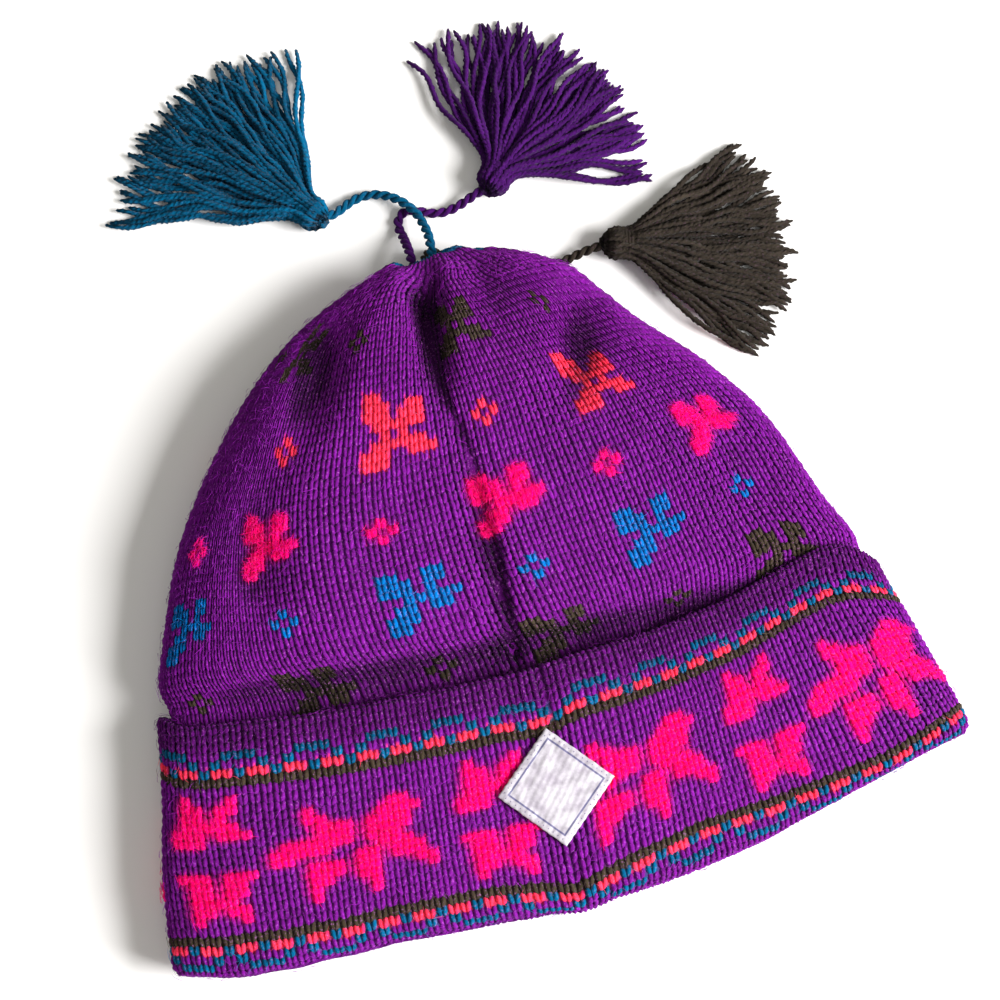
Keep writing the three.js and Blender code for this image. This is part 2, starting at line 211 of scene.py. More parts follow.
def tube_faces(count: int, rings: int, sides: int) -> tuple[np.ndarray, np.ndarray]:
    """Faces of closed tubes whose points are stored as rings, then a start and an end pole.

    Args:
        count: number of tubes.
        rings: rings along each tube.
        sides: points round each ring.

    Returns:
        Quads between the rings and triangles to the two poles.
    """
    size = rings * sides + 2
    base = np.arange(count)[:, None, None] * size
    ring = np.arange(rings - 1)[None, :, None] * sides
    side = np.arange(sides)[None, None, :]
    after = (side + 1) % sides
    quads = np.stack([
        base + ring + side, base + ring + after,
        base + ring + sides + after, base + ring + sides + side,
    ], -1).reshape(-1, 4)
    flat = np.arange(count)[:, None] * size
    side, after = side[0], after[0]
    last = (rings - 1) * sides
    pole = flat + rings * sides + 0 * side
    start_cap = np.stack([pole, flat + after, flat + side], -1)
    end_cap = np.stack([pole + 1, flat + last + side, flat + last + after], -1)
    return quads, np.concatenate([start_cap.reshape(-1, 3), end_cap.reshape(-1, 3)])


def tubes(
    paths: np.ndarray,
    wide: np.ndarray,
    sides: int,
    colours: np.ndarray,
    flat: float = 1.0,
    twist: Optional[np.ndarray] = None,
    point: float = 1.0,
) -> Skin:
    """Closed tubes along many paths at once.

    A ring's point is centre + wide * (u*cos(t) + w*flat*sin(t)), where u and w are square to the
    path, the angle t runs round it, and the oval is turned by the twist along it.

    Args:
        paths: (tubes, steps, 3) centre lines.
        wide: (tubes, steps) half widths.
        sides: points round each ring.
        colours: (tubes, 3) or (tubes, steps, 3).
        flat: second half width as a share of the first.
        twist: (tubes, steps) turn of the section, in radians.
        point: how far the end poles stand out, in half widths.

    Returns:
        One skin that holds all the tubes.
    """
    count, steps = paths.shape[:2]
    ahead = unit(np.gradient(paths, axis=1))
    side_axis = np.cross(ahead, np.array([0.0, 0.0, 1.0]))
    weak = np.linalg.norm(side_axis, axis=-1, keepdims=True) < 1e-3
    u = unit(np.where(weak, np.array([1.0, 0.0, 0.0]), side_axis))
    w = np.cross(u, ahead)
    turn = np.zeros((count, steps)) if twist is None else twist
    angle = np.arange(sides)[None, None, :] * (2 * np.pi / sides)
    across, high = np.cos(angle), np.sin(angle) * flat
    cos, sin = np.cos(turn)[..., None], np.sin(turn)[..., None]
    a, b = across * cos - high * sin, across * sin + high * cos
    outward = a[..., None] * u[:, :, None] + b[..., None] * w[:, :, None]
    ring = paths[:, :, None] + wide[..., None, None] * outward
    poles = np.stack([
        paths[:, 0] - ahead[:, 0] * wide[:, :1] * point,
        paths[:, -1] + ahead[:, -1] * wide[:, -1:] * point,
    ], 1)
    points = np.concatenate([ring.reshape(count, -1, 3), poles], 1).reshape(-1, 3)
    quads, tris = tube_faces(count, steps, sides)
    shade = colours if colours.ndim == 3 else np.repeat(colours[:, None], steps, 1)
    shade = np.concatenate([np.repeat(shade, sides, 1), shade[:, :1], shade[:, -1:]], 1).reshape(-1, 3)
    length = np.concatenate([
        np.zeros((count, 1)), np.cumsum(np.linalg.norm(np.diff(paths, axis=1), axis=-1), 1),
    ], 1)
    u_place = np.broadcast_to(np.arange(sides) / sides, (count, steps, sides)).reshape(count, -1)
    v_place = np.repeat(length, sides, 1)
    uv = np.stack([
        np.concatenate([u_place, np.zeros((count, 2))], 1),
        np.concatenate([v_place, length[:, :1], length[:, -1:]], 1) * 0.1,
    ], -1).reshape(-1, 2)
    return Skin(points, quads, tris, shade, uv)


# The hat's form, repeated from the part's own source

@dataclass(frozen=True)
class Fold:
    """A groove pressed into the knit, from its upper to its lower end, deepest at its peak."""

    panel: int
    top: tuple[float, float]
    low: tuple[float, float]
    depth: float
    width: float
    peak: float

    def sink(self, x: np.ndarray, y: np.ndarray, spread: np.ndarray) -> np.ndarray:
        """Depth at a place: depth * rise along the fold * exp(-(distance across / (width + spread))^2).

        Args:
            x: places across the hat.
            y: places up the hat.
            spread: millimetres added to the fold's width.

        Returns:
            The depths.
        """
        along = (self.top[1] - y) / (self.top[1] - self.low[1])
        rise = np.where(
            along < self.peak,
            smoothstep(-0.15, 1.0, along / self.peak),
            1.0 - smoothstep(0.0, 1.0, (along - self.peak) / (1.0 - self.peak)),
        )
        middle = self.top[0] + (self.low[0] - self.top[0]) * along
        offset = (x - middle) / (self.width + spread)
        return np.where((along > 0) & (along < 1), self.depth * rise * np.exp(-offset * offset), 0.0)


@dataclass(frozen=True)
class HatForm:
    """The flattened tube of knit: sections up the hat, folds, pleats and wall thicknesses."""

    wall: float = 3.4
    cuff_wall: float = 4.2
    seat: float = 0.4
    front_exponent: float = 2.5
    back_exponent: float = 3.6
    back_sink: float = 1.5
    gather: tuple[float, float, float] = (0.5, 100.5, 12.0)
    dome_rise: float = 3.0
    # left, right, upLeft, upMid, upRight, front, side, back
    sections: tuple[tuple[float, ...], ...] = (
        (-123.0, 123.0, -92.0, -103.4, -82.5, 23.0, 12.6, 4.6),
        (-120.6, 119.4, -70.0, -81.0, -66.5, 26.0, 12.6, 4.6),
        (-115.4, 115.0, -45.0, -56.5, -48.0, 28.0, 12.6, 4.6),
        (-112.2, 110.8, -21.0, -31.5, -29.0, 28.0, 12.4, 4.6),
        (-113.8, 110.8, -12.0, -22.0, -20.0, 32.5, 12.0, 0.0),
        (-109.0, 104.5, 3.5, -5.0, -4.0, 35.5, 12.0, 0.0),
        (-98.2, 94.2, 30.3, 21.0, 26.5, 37.5, 12.0, 0.0),
        (-79.6, 80.4, 58.0, 46.0, 48.0, 37.5, 12.0, 0.0),
        (-60.2, 62.4, 79.0, 70.0, 68.5, 34.5, 12.5, 0.0),
        (-41.2, 46.0, 93.0, 89.5, 91.0, 29.5, 13.0, 0.8),
        (-24.0, 32.0, 100.5, 100.6, 99.0, 24.5, 13.0, 3.6),
        (-12.5, 19.0, 104.0, 106.0, 104.0, 19.5, 12.5, 6.0),
        (-7.0, 8.0, 104.0, 105.0, 105.5, 16.5, 12.0, 7.4),
    )
    folds: tuple[Fold, ...] = (
        Fold(1, (-0.5, 112), (-9.0, 36), 13.0, 5.0, 0.3),
        Fold(1, (-4.0, 44), (-5.5, -34), 3.2, 4.0, 0.75),
        Fold(1, (-30, 98), (-56, 38), 7.5, 9.0, 0.45),
        Fold(1, (-62, 58), (-80, -12), 4.0, 10.0, 0.6),
        Fold(1, (16, 110), (14, 52), 3.6, 7.0, 0.25),
        Fold(1, (48, 88), (30, 22), 5.0, 9.0, 0.45),
        Fold(1, (74, 44), (84, -16), 4.0, 9.0, 0.5),
        Fold(-1, (2, 112), (6, 62), 4.5, 7.0, 0.2),
    )
    pleat_count: int = 9
    pleat_depth: float = 1.5
    pleat_span: tuple[float, float] = (9.0, 11.4)
    # near the top the folds sink along y too: where the lean sets in and ends, and how far it goes
    top_span: tuple[float, float] = (78.0, 106.0)
    top_lean: float = 0.42

    # how far up the hem stands, as places (x, up); the wave dies out at a place in the sections
    hem_wave: tuple[tuple[float, float], ...] = (
        (-124, -1.5), (-110, -2.5), (-95, -1.4), (-78, 0.6), (-58, 2.3), (-30, 1.8), (-14, 0.6),
        (-2, -1.6), (8, -0.6), (26, -0.8), (56, -0.4), (72, 0.8), (90, 1.3), (112, 1.1), (124, 0.0),
    )
    hem_wave_top: float = 1.6

    def hem_lift(self, v: np.ndarray, x: np.ndarray) -> np.ndarray:
        """How far the hem's wave lifts the knit: its table, eased between places, times a fade.

        Args:
            v: places in the table of sections.
            x: places across.

        Returns:
            The lifts.
        """
        table = np.array(self.hem_wave, float)
        i = np.clip(np.searchsorted(table[:, 0], x, side="right"), 1, len(table) - 1)
        k = np.clip((x - table[i - 1, 0]) / (table[i, 0] - table[i - 1, 0]), 0.0, 1.0)
        lift = table[i - 1, 1] + (table[i, 1] - table[i - 1, 1]) * k * k * (3.0 - 2.0 * k)
        return lift * (1.0 - smoothstep(0.0, self.hem_wave_top, v))

    def section(self, v: np.ndarray) -> np.ndarray:
        """The section at any place between the rows of the table, (..., 8)."""
        table = np.array(self.sections)
        return monotone(np.arange(float(len(table))), table, np.clip(v, 0.0, len(table) - 1.0))

    def point(self, v: np.ndarray, angle: np.ndarray, grow: np.ndarray) -> np.ndarray:
        """A point of the knit.

        The section is a flattened ring: x = middle + half width * cos^(2/e), z rises from the
        side folds by sin^(2/e) with a blunter exponent below, and y follows a parabola through
        the round's left, middle and right heights. Folds and pleats then sink or lift it.

        Args:
            v: place in the table of sections.
            angle: round the hat, from the right fold over the front.
            grow: distance outside (+) or inside (-) the crown's outer face.

        Returns:
            Points in millimetres, (..., 3).
        """
        v, angle, grow = np.broadcast_arrays(v, angle, grow)
        left, right, up_left, up_mid, up_right, front, side, back = np.moveaxis(self.section(v), -1, 0)
        c, n = np.cos(angle), np.sin(angle)
        across = signed_power(c, 2.0 / self.front_exponent)
        x = (left + right) / 2 + ((right - left) / 2 + grow) * across
        y = up_mid + (up_right - up_left) / 2 * across + ((up_right + up_left) / 2 - up_mid) * across ** 2
        size = np.abs(n)
        over = side + (front - side + grow) * size ** (2.0 / self.front_exponent)
        floor = back - grow
        drop = (side - floor + self.back_sink) * size ** (2.0 / self.back_exponent)
        under = np.maximum(side - drop, floor)
        z = np.where(n >= 0, over, under)
        panel = np.where(n >= 0, 1.0, -1.0)
        spread = np.maximum(0.0, -grow) * 0.9
        sink = sum(np.where(panel == fold.panel, fold.sink(x, y, spread), 0.0) for fold in self.folds)
        pleat = self.pleat_depth * smoothstep(*self.pleat_span, v) * np.cos(self.pleat_count * angle)
        sink = sink * np.sqrt(size) + np.where(grow < 0, 0.0, pleat)
        lean = smoothstep(*self.top_span, y) * np.pi * self.top_lean
        closing = np.where(grow < 0, grow * smoothstep(7.0, 10.0, v), 0.0)
        z = z - panel * sink * np.cos(lean)
        y = y - sink * np.sin(lean) * 0.8 + closing
        y = y + self.hem_lift(v, x)
        return np.stack([x, y, z], -1)

    def front_angle(self, v: np.ndarray, x: np.ndarray, grow: float) -> np.ndarray:
        """The angle on the front at which a round reaches x.

        Args:
            v: places in the table of sections.
            x: places across.
            grow: distances outside the crown's outer face.

        Returns:
            The angles.
        """
        s = self.section(v)
        share = (x - (s[..., 0] + s[..., 1]) / 2) / ((s[..., 1] - s[..., 0]) / 2 + grow)
        return np.arccos(signed_power(np.clip(share, -1.0, 1.0), self.front_exponent / 2.0))


@dataclass(frozen=True)
class Seam:
    """The narrow groove of the front seam, along places (x, y) up the hat."""

    path: tuple[tuple[float, float], ...]
    depth: float
    width: float

    def groove(self, x: np.ndarray, y: np.ndarray) -> np.ndarray:
        """Depth at a place: depth * exp(-(distance across / width)^2).

        Args:
            x: places across the hat.
            y: places up the hat.

        Returns:
            The depths.
        """
        line = np.array(self.path)
        middle = np.interp(y, line[:, 1], line[:, 0])
        return self.depth * np.exp(-(((x - middle) / self.width) ** 2))


# Knit laid over the form

@dataclass
class Fabric:
    """A tube of knit as a grid of places, two to each stitch both ways, closed round the hat.

    The columns are the wales, numbered to the right from the front seam, and the rows are the
    rounds. A place between grid points is the blend of the four round it.
    """

    columns: int
    first_row: float
    grid: np.ndarray
    normals: np.ndarray

    @classmethod
    def from_grid(cls, columns: int, first_row: float, grid: np.ndarray) -> "Fabric":
        """Works out the outward normals as the cross product of the steps across and up.

        Args:
            columns: number of wales round the tube.
            first_row: round number of the grid's first line.
            grid: the knit's points.

        Returns:
            The fabric with its normals.
        """
        across = np.roll(grid, -1, 1) - np.roll(grid, 1, 1)
        up = np.gradient(grid, axis=0)
        return cls(columns, first_row, grid, unit(np.cross(across, up)))

    def read(self, column: np.ndarray, row: np.ndarray) -> tuple[np.ndarray, np.ndarray]:
        """Point and outward normal at any column and row.

        Args:
            column: wale numbers, whole or between wales.
            row: round numbers, of the same shape.

        Returns:
            The points and the unit normals.
        """
        c = np.mod(column, self.columns) * 2.0
        r = np.clip((row - self.first_row) * 2.0, 0.0, len(self.grid) - 1.001)
        c0, r0 = np.floor(c).astype(int), np.floor(r).astype(int)
        kc, kr = (c - c0)[..., None], (r - r0)[..., None]
        width = self.grid.shape[1]
        c0, c1 = c0 % width, (c0 + 1) % width
        found = []
        for array in (self.grid, self.normals):
            low = array[r0, c0] * (1 - kc) + array[r0, c1] * kc
            high = array[r0 + 1, c0] * (1 - kc) + array[r0 + 1, c1] * kc
            found.append(low * (1 - kr) + high * kr)
        return found[0], unit(found[1])

    def hollows(self, reach: int = 9) -> np.ndarray:
        """How far each grid point lies below its surroundings, in millimetres.

        It is the outward normal times (mean of the points within the reach - the point).

        Args:
            reach: how many grid steps the surroundings go.

        Returns:
            A depth for each point.
        """
        steps = range(-reach, reach + 1, 3)
        wide = sum(np.roll(self.grid, step, 1) for step in steps) / len(steps)
        padded = np.pad(wide, ((reach, reach), (0, 0), (0, 0)), mode="edge")
        mean = sum(padded[reach + step: reach + step + len(wide)] for step in steps) / len(steps)
        return ((mean - self.grid) * self.normals).sum(-1)


def lay_columns(
    form: HatForm,
    rounds: Callable[[np.ndarray], np.ndarray],
    v: np.ndarray,
    grow: np.ndarray,
    columns: int,
    marked: Sequence[float],
    marked_x: np.ndarray,
) -> np.ndarray:
    """Spreads the wales round each round, so that the marked ones lie at their known places.

    Each round is measured along its own surface, the marked columns are found on it, and the
    others are spread between them by a smooth rising curve.

    Args:
        form: the hat's form.
        rounds: gives the points of every round for an array of angles, (rows, angles, 3).
        v: the rounds' places in the table of sections, (rows,).
        grow: their distance outside the crown's outer face, (rows,).
        columns: stitches round the hat.
        marked: the marked columns, from the left to the right of the front.
        marked_x: where they lie, (rows, marked).

    Returns:
        The grid of points, two to each stitch, (rows, 2 * columns, 3).
    """
    turn = np.linspace(0.0, 2 * np.pi, 1081)
    start = form.front_angle(v, marked_x[:, len(marked) // 2], 0.0)
    angles = start[:, None] - turn[None]
    points = rounds(angles)
    length = np.concatenate([
        np.zeros((len(v), 1)), np.cumsum(np.linalg.norm(np.diff(points, axis=1), axis=-1), 1),
    ], 1)
    marks = np.asarray(marked, float)
    middle = marks[len(marks) // 2]
    places = np.arange(2 * columns) / 2.0
    grid = np.empty((len(v), 2 * columns, 3))
    for i in range(len(v)):
        mark_angle = form.front_angle(np.full(len(marks), v[i]), marked_x[i], grow[i])
        found = np.interp(np.mod(start[i] - mark_angle, 2 * np.pi), turn, length[i])
        total = length[i, -1]
        order = np.mod(marks - middle, columns)
        sort = np.argsort(order)
        knots = np.concatenate([order[sort], [columns]])
        values = np.concatenate([found[sort], [total]])
        values[0] = 0.0
        along = monotone(knots, values[:, None], np.mod(places - middle, columns))[:, 0]
        where = np.interp(along, length[i], turn)
        grid[i] = np.stack([np.interp(where, turn, points[i, :, k]) for k in range(3)], -1)
    return grid


def slide_rounds(
    grid: np.ndarray,
    rows: np.ndarray,
    columns: int,
    wales: Sequence[float],
    slides: Sequence[tuple[float, ...]],
) -> np.ndarray:
    """Moves the rounds up or down along each wale, so that they wander as real knit does.

    A grid point takes the place that lies its slide further up its own wale. The slide is smooth
    between the rows of the table, goes straight from wale to wale, and dies out over the back.

    Args:
        grid: the laid points, (rows, 2 * columns, 3).
        rows: the grid's row numbers, (rows,).
        columns: stitches round the hat.
        wales: the wales that the table names, from left to right.
        slides: a row number, then how many rounds it is moved at each of those wales.

    Returns:
        The grid with its rounds moved.
    """
    table = np.array(slides, float)
    places = np.mod(np.arange(2 * columns) / 2.0 + columns / 2, columns) - columns / 2
    at = np.clip(rows, table[0, 0], table[-1, 0])
    by_row = monotone(table[:, 0], table[:, 1:], at)
    knots = np.concatenate([[wales[0] - 10], wales, [wales[-1] + 10]])
    moved = np.empty_like(grid)
    for i, wale in enumerate(places):
        shift = np.array([np.interp(wale, knots, np.concatenate([[0.0], line, [0.0]])) for line in by_row])
        for k in range(3):
            moved[:, i, k] = np.interp(rows + shift, rows, grid[:, i, k])
    return moved


def sink_to_neighbours(high: np.ndarray) -> np.ndarray:
    """Heights on the front as low as the lower neighbour along the round, so grooves stay clear."""
    lowest = np.minimum(np.minimum(np.roll(high, 1, 1), np.roll(high, -1, 1)), high)
    return high + (lowest - high) * smoothstep(16.0, 22.0, high)


@dataclass(frozen=True)
class Stitch:
    """The shape of one leg of a stitch, in stitches across and up and millimetres of height.

    The leg is an oval spindle of yarn that leaves the foot of the V, leans outwards and goes
    under the stitch above.
    """

    rise: tuple[float, ...] = (-0.82, -0.46, 0.0, 0.44, 0.8)
    across: tuple[float, ...] = (0.08, 0.15, 0.23, 0.295, 0.31)
    wide: tuple[float, ...] = (0.18, 0.235, 0.18)
    high: tuple[float, ...] = (-1.3, -0.74, -0.58, -0.72, -1.25)
    thick: tuple[float, ...] = (0.46, 0.6, 0.46)
    lean: float = 0.42

    def legs(
        self,
        fabric: Fabric,
        column: np.ndarray,
        row: np.ndarray,
        colours: Callable[[np.ndarray, np.ndarray, np.ndarray], np.ndarray],
        merge: int,
        rng: np.random.Generator,
        puff: np.ndarray,
    ) -> Skin:
        """Lays both legs of many stitches on a fabric.

        A point is fabric(column + a, row + b) + normal * h, with a, b and h from the spindle's
        rings, and small random turns and lifts so that no two legs are alike.

        Args:
            fabric: what the stitches are laid on.
            column: the stitches' columns, (n,).
            row: their rows, (n,).
            colours: gives a point's colour from its column, its row and its stitch's index.
            merge: how many columns of the fabric one stitch takes.
            rng: the source of the small differences.
            puff: how much fuller each stitch is, (n,).

        Returns:
            The legs as one skin.
        """
        count = len(column)
        index = np.repeat(np.arange(count), 2)
        side = np.tile([1.0, -1.0], count)
        n = len(index)
        jitter = rng.normal(0.0, 1.0, (n, 4))
        full = np.repeat(puff, 2)
        ring_angle = np.arange(4) * (np.pi / 2)
        ring_a = np.cos(ring_angle)[None, None] * np.array(self.wide)[None, :, None] * full[:, None, None]
        ring_h = np.sin(ring_angle)[None, None] * np.array(self.thick)[None, :, None] * full[:, None, None]
        ring_h = np.where(ring_h < 0, ring_h * 0.7, ring_h)
        centre_a = np.array(self.across)[None, 1:4, None]
        centre_b = np.array(self.rise)[None, 1:4, None]
        centre_h = np.array(self.high)[None, 1:4, None]
        swing = (jitter[:, 0] * 0.02)[:, None, None]
        a = side[:, None, None] * (centre_a + swing) + ring_a
        b = centre_b + (jitter[:, 1] * 0.035)[:, None, None] - side[:, None, None] * ring_a * self.lean
        h = centre_h + (jitter[:, 2] * 0.07)[:, None, None] + ring_h
        pole_a = side[:, None] * (np.array(self.across)[None, [0, 4]] + swing[:, 0])
        pole_b = np.array(self.rise)[None, [0, 4]] + (jitter[:, 1] * 0.035)[:, None]
        pole_h = np.array(self.high)[None, [0, 4]] + (jitter[:, 2] * 0.07)[:, None]
        a = np.concatenate([a.reshape(n, -1), pole_a], 1)
        b = np.concatenate([b.reshape(n, -1), pole_b], 1)
        h = np.concatenate([h.reshape(n, -1), pole_h], 1)
        at_column = column[index][:, None] + a * merge
        at_row = row[index][:, None] + b
        points, normals = fabric.read(at_column, at_row)
        points = points + normals * h[..., None]
        points[..., 2] = np.maximum(points[..., 2], 0.05)
        quads, tris = tube_faces(n, 3, 4)
        shade = colours(at_column, at_row, index)
        ring_u = np.tile(np.arange(4) / 4.0, 3)
        ring_v = np.repeat(np.array(self.rise)[1:4], 4)
        u_place = np.concatenate([ring_u, [0.0, 0.0]])
        v_place = np.concatenate([ring_v, [self.rise[0], self.rise[4]]])
        uv = np.stack([np.broadcast_to(u_place, (n, 14)), np.broadcast_to(v_place, (n, 14))], -1).copy()
        uv[..., 0] += rng.random((n, 1)) * 8
        uv[..., 1] += rng.random((n, 1)) * 8
        return Skin(points.reshape(-1, 3), quads, tris, shade.reshape(-1, 3), uv.reshape(-1, 2))


# Charts, drawn stitch by stitch: X is the motif's yarn, a dot the ground

BIG_BUTTERFLY = (
    "XX......",
    "XXX..XX.",
    "XXX.XXX.",
    ".XXXXXX.",
    "..X.X...",
    ".XXXXXX.",
    "XXX..XXX",
    "XXX.....",
)
MIDDLE_BUTTERFLY = (
    "XX..XX.",
    "XXX.XX.",
    "XXX.X..",
    "..XXXXX",
    ".XX.XX.",
    "XXX....",
    "XX.....",
)
SMALL_RING = (
    ".X.",
    "X.X",
    ".X.",
)
CUFF_BUTTERFLY_UPPER = (
    ".X...X.",
    ".XX.XX.",
    ".XX.X..",
    ".XXXXX.",
    "XXX.XXX",
    "XXX....",
)
CUFF_BUTTERFLY_LOWER = (
    "XXX.XXX",
    ".XX.XX.",
    ".XX.XX.",
    ".XXXX..",
    ".XX.XX.",
    ".X...X.",
)
CUFF_FLOWER = (
    "...X......XX..",
    "...XX....XXXX.",
    "....XXX.XXXX..",
    "....XXX.XXXX..",
    ".XXXXXX.XXX...",
    "XXXXX....XXX..",
    "XX.....XX.XXX.",
    "...XXX.XX.XXX.",
    "...XXX.XX...XX",
    "...XX..XX....X",
    "...X....X.....",
    "...X....X.....",
)


@dataclass
class Chart:
    """Which yarn each stitch of a tube of knit has, by row and column."""

    yarns: np.ndarray
    first_row: int

    @classmethod
    def plain(cls, columns: int, first_row: int, rows: int) -> "Chart":
        """A chart that is all ground."""
        return cls(np.full((rows, columns), Yarn.VIOLET.value), first_row)

    def draw(self, pattern: Sequence[str], yarn: Yarn, column: int, top_row: int) -> None:
        """Draws a motif with its left edge at a column and its top line on a row.

        Args:
            pattern: the motif's lines, top first.
            yarn: the motif's yarn.
            column: its left wale.
            top_row: its top round.
        """
        for i, line in enumerate(pattern):
            for j, mark in enumerate(line):
                row = top_row - i - self.first_row
                if mark == "X" and 0 <= row < len(self.yarns):
                    self.yarns[row, (column + j) % self.yarns.shape[1]] = yarn.value

    def at(self, column: np.ndarray, row: np.ndarray) -> np.ndarray:
        """The yarn of the stitch at each column and row."""
        r = np.clip(np.round(row).astype(int) - self.first_row, 0, len(self.yarns) - 1)
        return self.yarns[r, np.round(column).astype(int) % self.yarns.shape[1]]

    def halo(self, yarn: Yarn, reach: float) -> np.ndarray:
        """How strongly a brushed yarn spreads over each quarter stitch.

        The chart's mask is drawn four times finer and blurred by a bell curve of that reach.

        Args:
            yarn: the brushed yarn.
            reach: the bell curve's width, in stitches.

        Returns:
            Strengths from 0 to 1.
        """
        fine = np.repeat(np.repeat((self.yarns == yarn.value).astype(float), 4, 0), 4, 1)
        span = np.arange(-8, 9)
        bell = np.exp(-0.5 * (span / (4 * reach)) ** 2)
        bell /= bell.sum()
        across = sum(weight * np.roll(fine, step, 1) for step, weight in zip(span, bell))
        padded = np.pad(across, ((8, 8), (0, 0)))
        return sum(weight * padded[8 + step: 8 + step + len(fine)] for step, weight in zip(span, bell))


@dataclass
class Shading:
    """Colours of a chart's stitches, with brushed yarns that blur over their edges, and painted shade that
    darkens the knit's hollows.
    """

    chart: Chart
    fabric: Fabric
    rng: np.random.Generator
    # how much darker the knit is where it rolls away from the light, between two rounds
    roll_shade: float = 0.0
    roll_rows: tuple[float, float] = (29.0, 33.0)
    reach: dict[Yarn, float] = field(default_factory=lambda: {Yarn.PINK: 0.75, Yarn.CORAL: 0.16})

    def __post_init__(self) -> None:
        """Draws the halos and the painted shade: darker in the knit's hollows, a little lighter on its
        ridges.
        """
        self.halos = {yarn: self.chart.halo(yarn, reach) for yarn, reach in self.reach.items()}
        # painted shade: the knit darkened where it lies below its surroundings, at two reaches, and up to
        # a tenth lighter where it stands above them
        hollow = self.fabric.hollows(9) * 0.3 + self.fabric.hollows(21) * 0.34
        self.painted_shade = np.clip(np.exp(-hollow), 0.28, 1.1)

    def point_colours(self, column: np.ndarray, row: np.ndarray, own: np.ndarray) -> np.ndarray:
        """Mixes each point's own yarn with the brushed yarns near it, and darkens it by the painted shade.

        Args:
            column: the points' columns.
            row: the points' rows.
            own: the yarn of the stitch that each point belongs to.

        Returns:
            Linear colours, with the colour as the last axis.
        """
        colour = YARN_COLOURS[own]
        rows, columns = self.chart.yarns.shape
        r = np.clip(((row - self.chart.first_row + 0.5) * 4).astype(int), 0, rows * 4 - 1)
        c = np.mod(((column + 0.5) * 4).astype(int), columns * 4)
        for yarn, halo in self.halos.items():
            weight = halo[r, c]
            mine = own == yarn.value
            spread = np.where(own == Yarn.VIOLET.value, smoothstep(0.12, 0.95, weight) * 0.8, 0.0)
            weight = np.where(mine, np.clip(0.45 + weight, 0.0, 1.0), spread)
            ground = np.where(mine[..., None], YARN_COLOURS[Yarn.VIOLET.value], colour)
            colour = ground + (YARN_COLOURS[yarn.value] - ground) * weight[..., None]
        # painted shade of the hollows and of the rounds that roll away from the light; pink keeps at least
        # 0.8 of its colour
        place = np.clip(((row - self.fabric.first_row) * 2).astype(int), 0, len(self.painted_shade) - 1)
        wale = np.mod((column * 2).astype(int), self.painted_shade.shape[1])
        painted_shade = self.painted_shade[place, wale] * (1.0 - self.roll_shade * smoothstep(*self.roll_rows, row))
        return colour * np.maximum(painted_shade, np.where(own == Yarn.PINK.value, 0.8, 0.0))[..., None]

    def wall_colours(self, rings: int, stitched: slice, where: Sequence[np.ndarray]) -> np.ndarray:
        """Colours of a wall: the ground, and under the stitches their own colours, all but pink a little
        darker as painted shade.

        Args:
            rings: how many rings the wall has.
            stitched: which of them lie under stitches.
            where: the columns and the rows of those rings' points.

        Returns:
            Linear colours, one row to a point.
        """
        own = np.full((rings, self.chart.yarns.shape[1]), Yarn.VIOLET.value)
        own[stitched] = self.chart.at(*where)
        colours = YARN_COLOURS[own]
        colours[stitched] = self.point_colours(*where, own[stitched])
        # painted shade between the legs: the wall darker than the stitches, pink left as it is
        shade = np.where(own == Yarn.PINK.value, 1.0, WALL_PAINTED_SHADE)
        return (colours * shade[..., None]).reshape(-1, 3)

    def stitch_colours(self, column: np.ndarray, row: np.ndarray) -> Callable[..., np.ndarray]:
        """A colouring function for the legs of the stitches at these columns and rows.

        Args:
            column: wale numbers, whole or between wales.
            row: round numbers, of the same shape.

        Returns:
            The function that colours their points.
        """
        own = self.chart.at(column, row)
        shade = np.exp(self.rng.normal(0.0, 0.10, (len(column) * 2, 1, 1)))

        def colours(at_column: np.ndarray, at_row: np.ndarray, index: np.ndarray) -> np.ndarray:
            """Colours of the legs' points, each leg a little lighter or darker."""
            mine = np.broadcast_to(own[index][:, None], at_column.shape)
            return np.clip(self.point_colours(at_column, at_row, mine) * shade, 0.0, 1.0)

        return colours


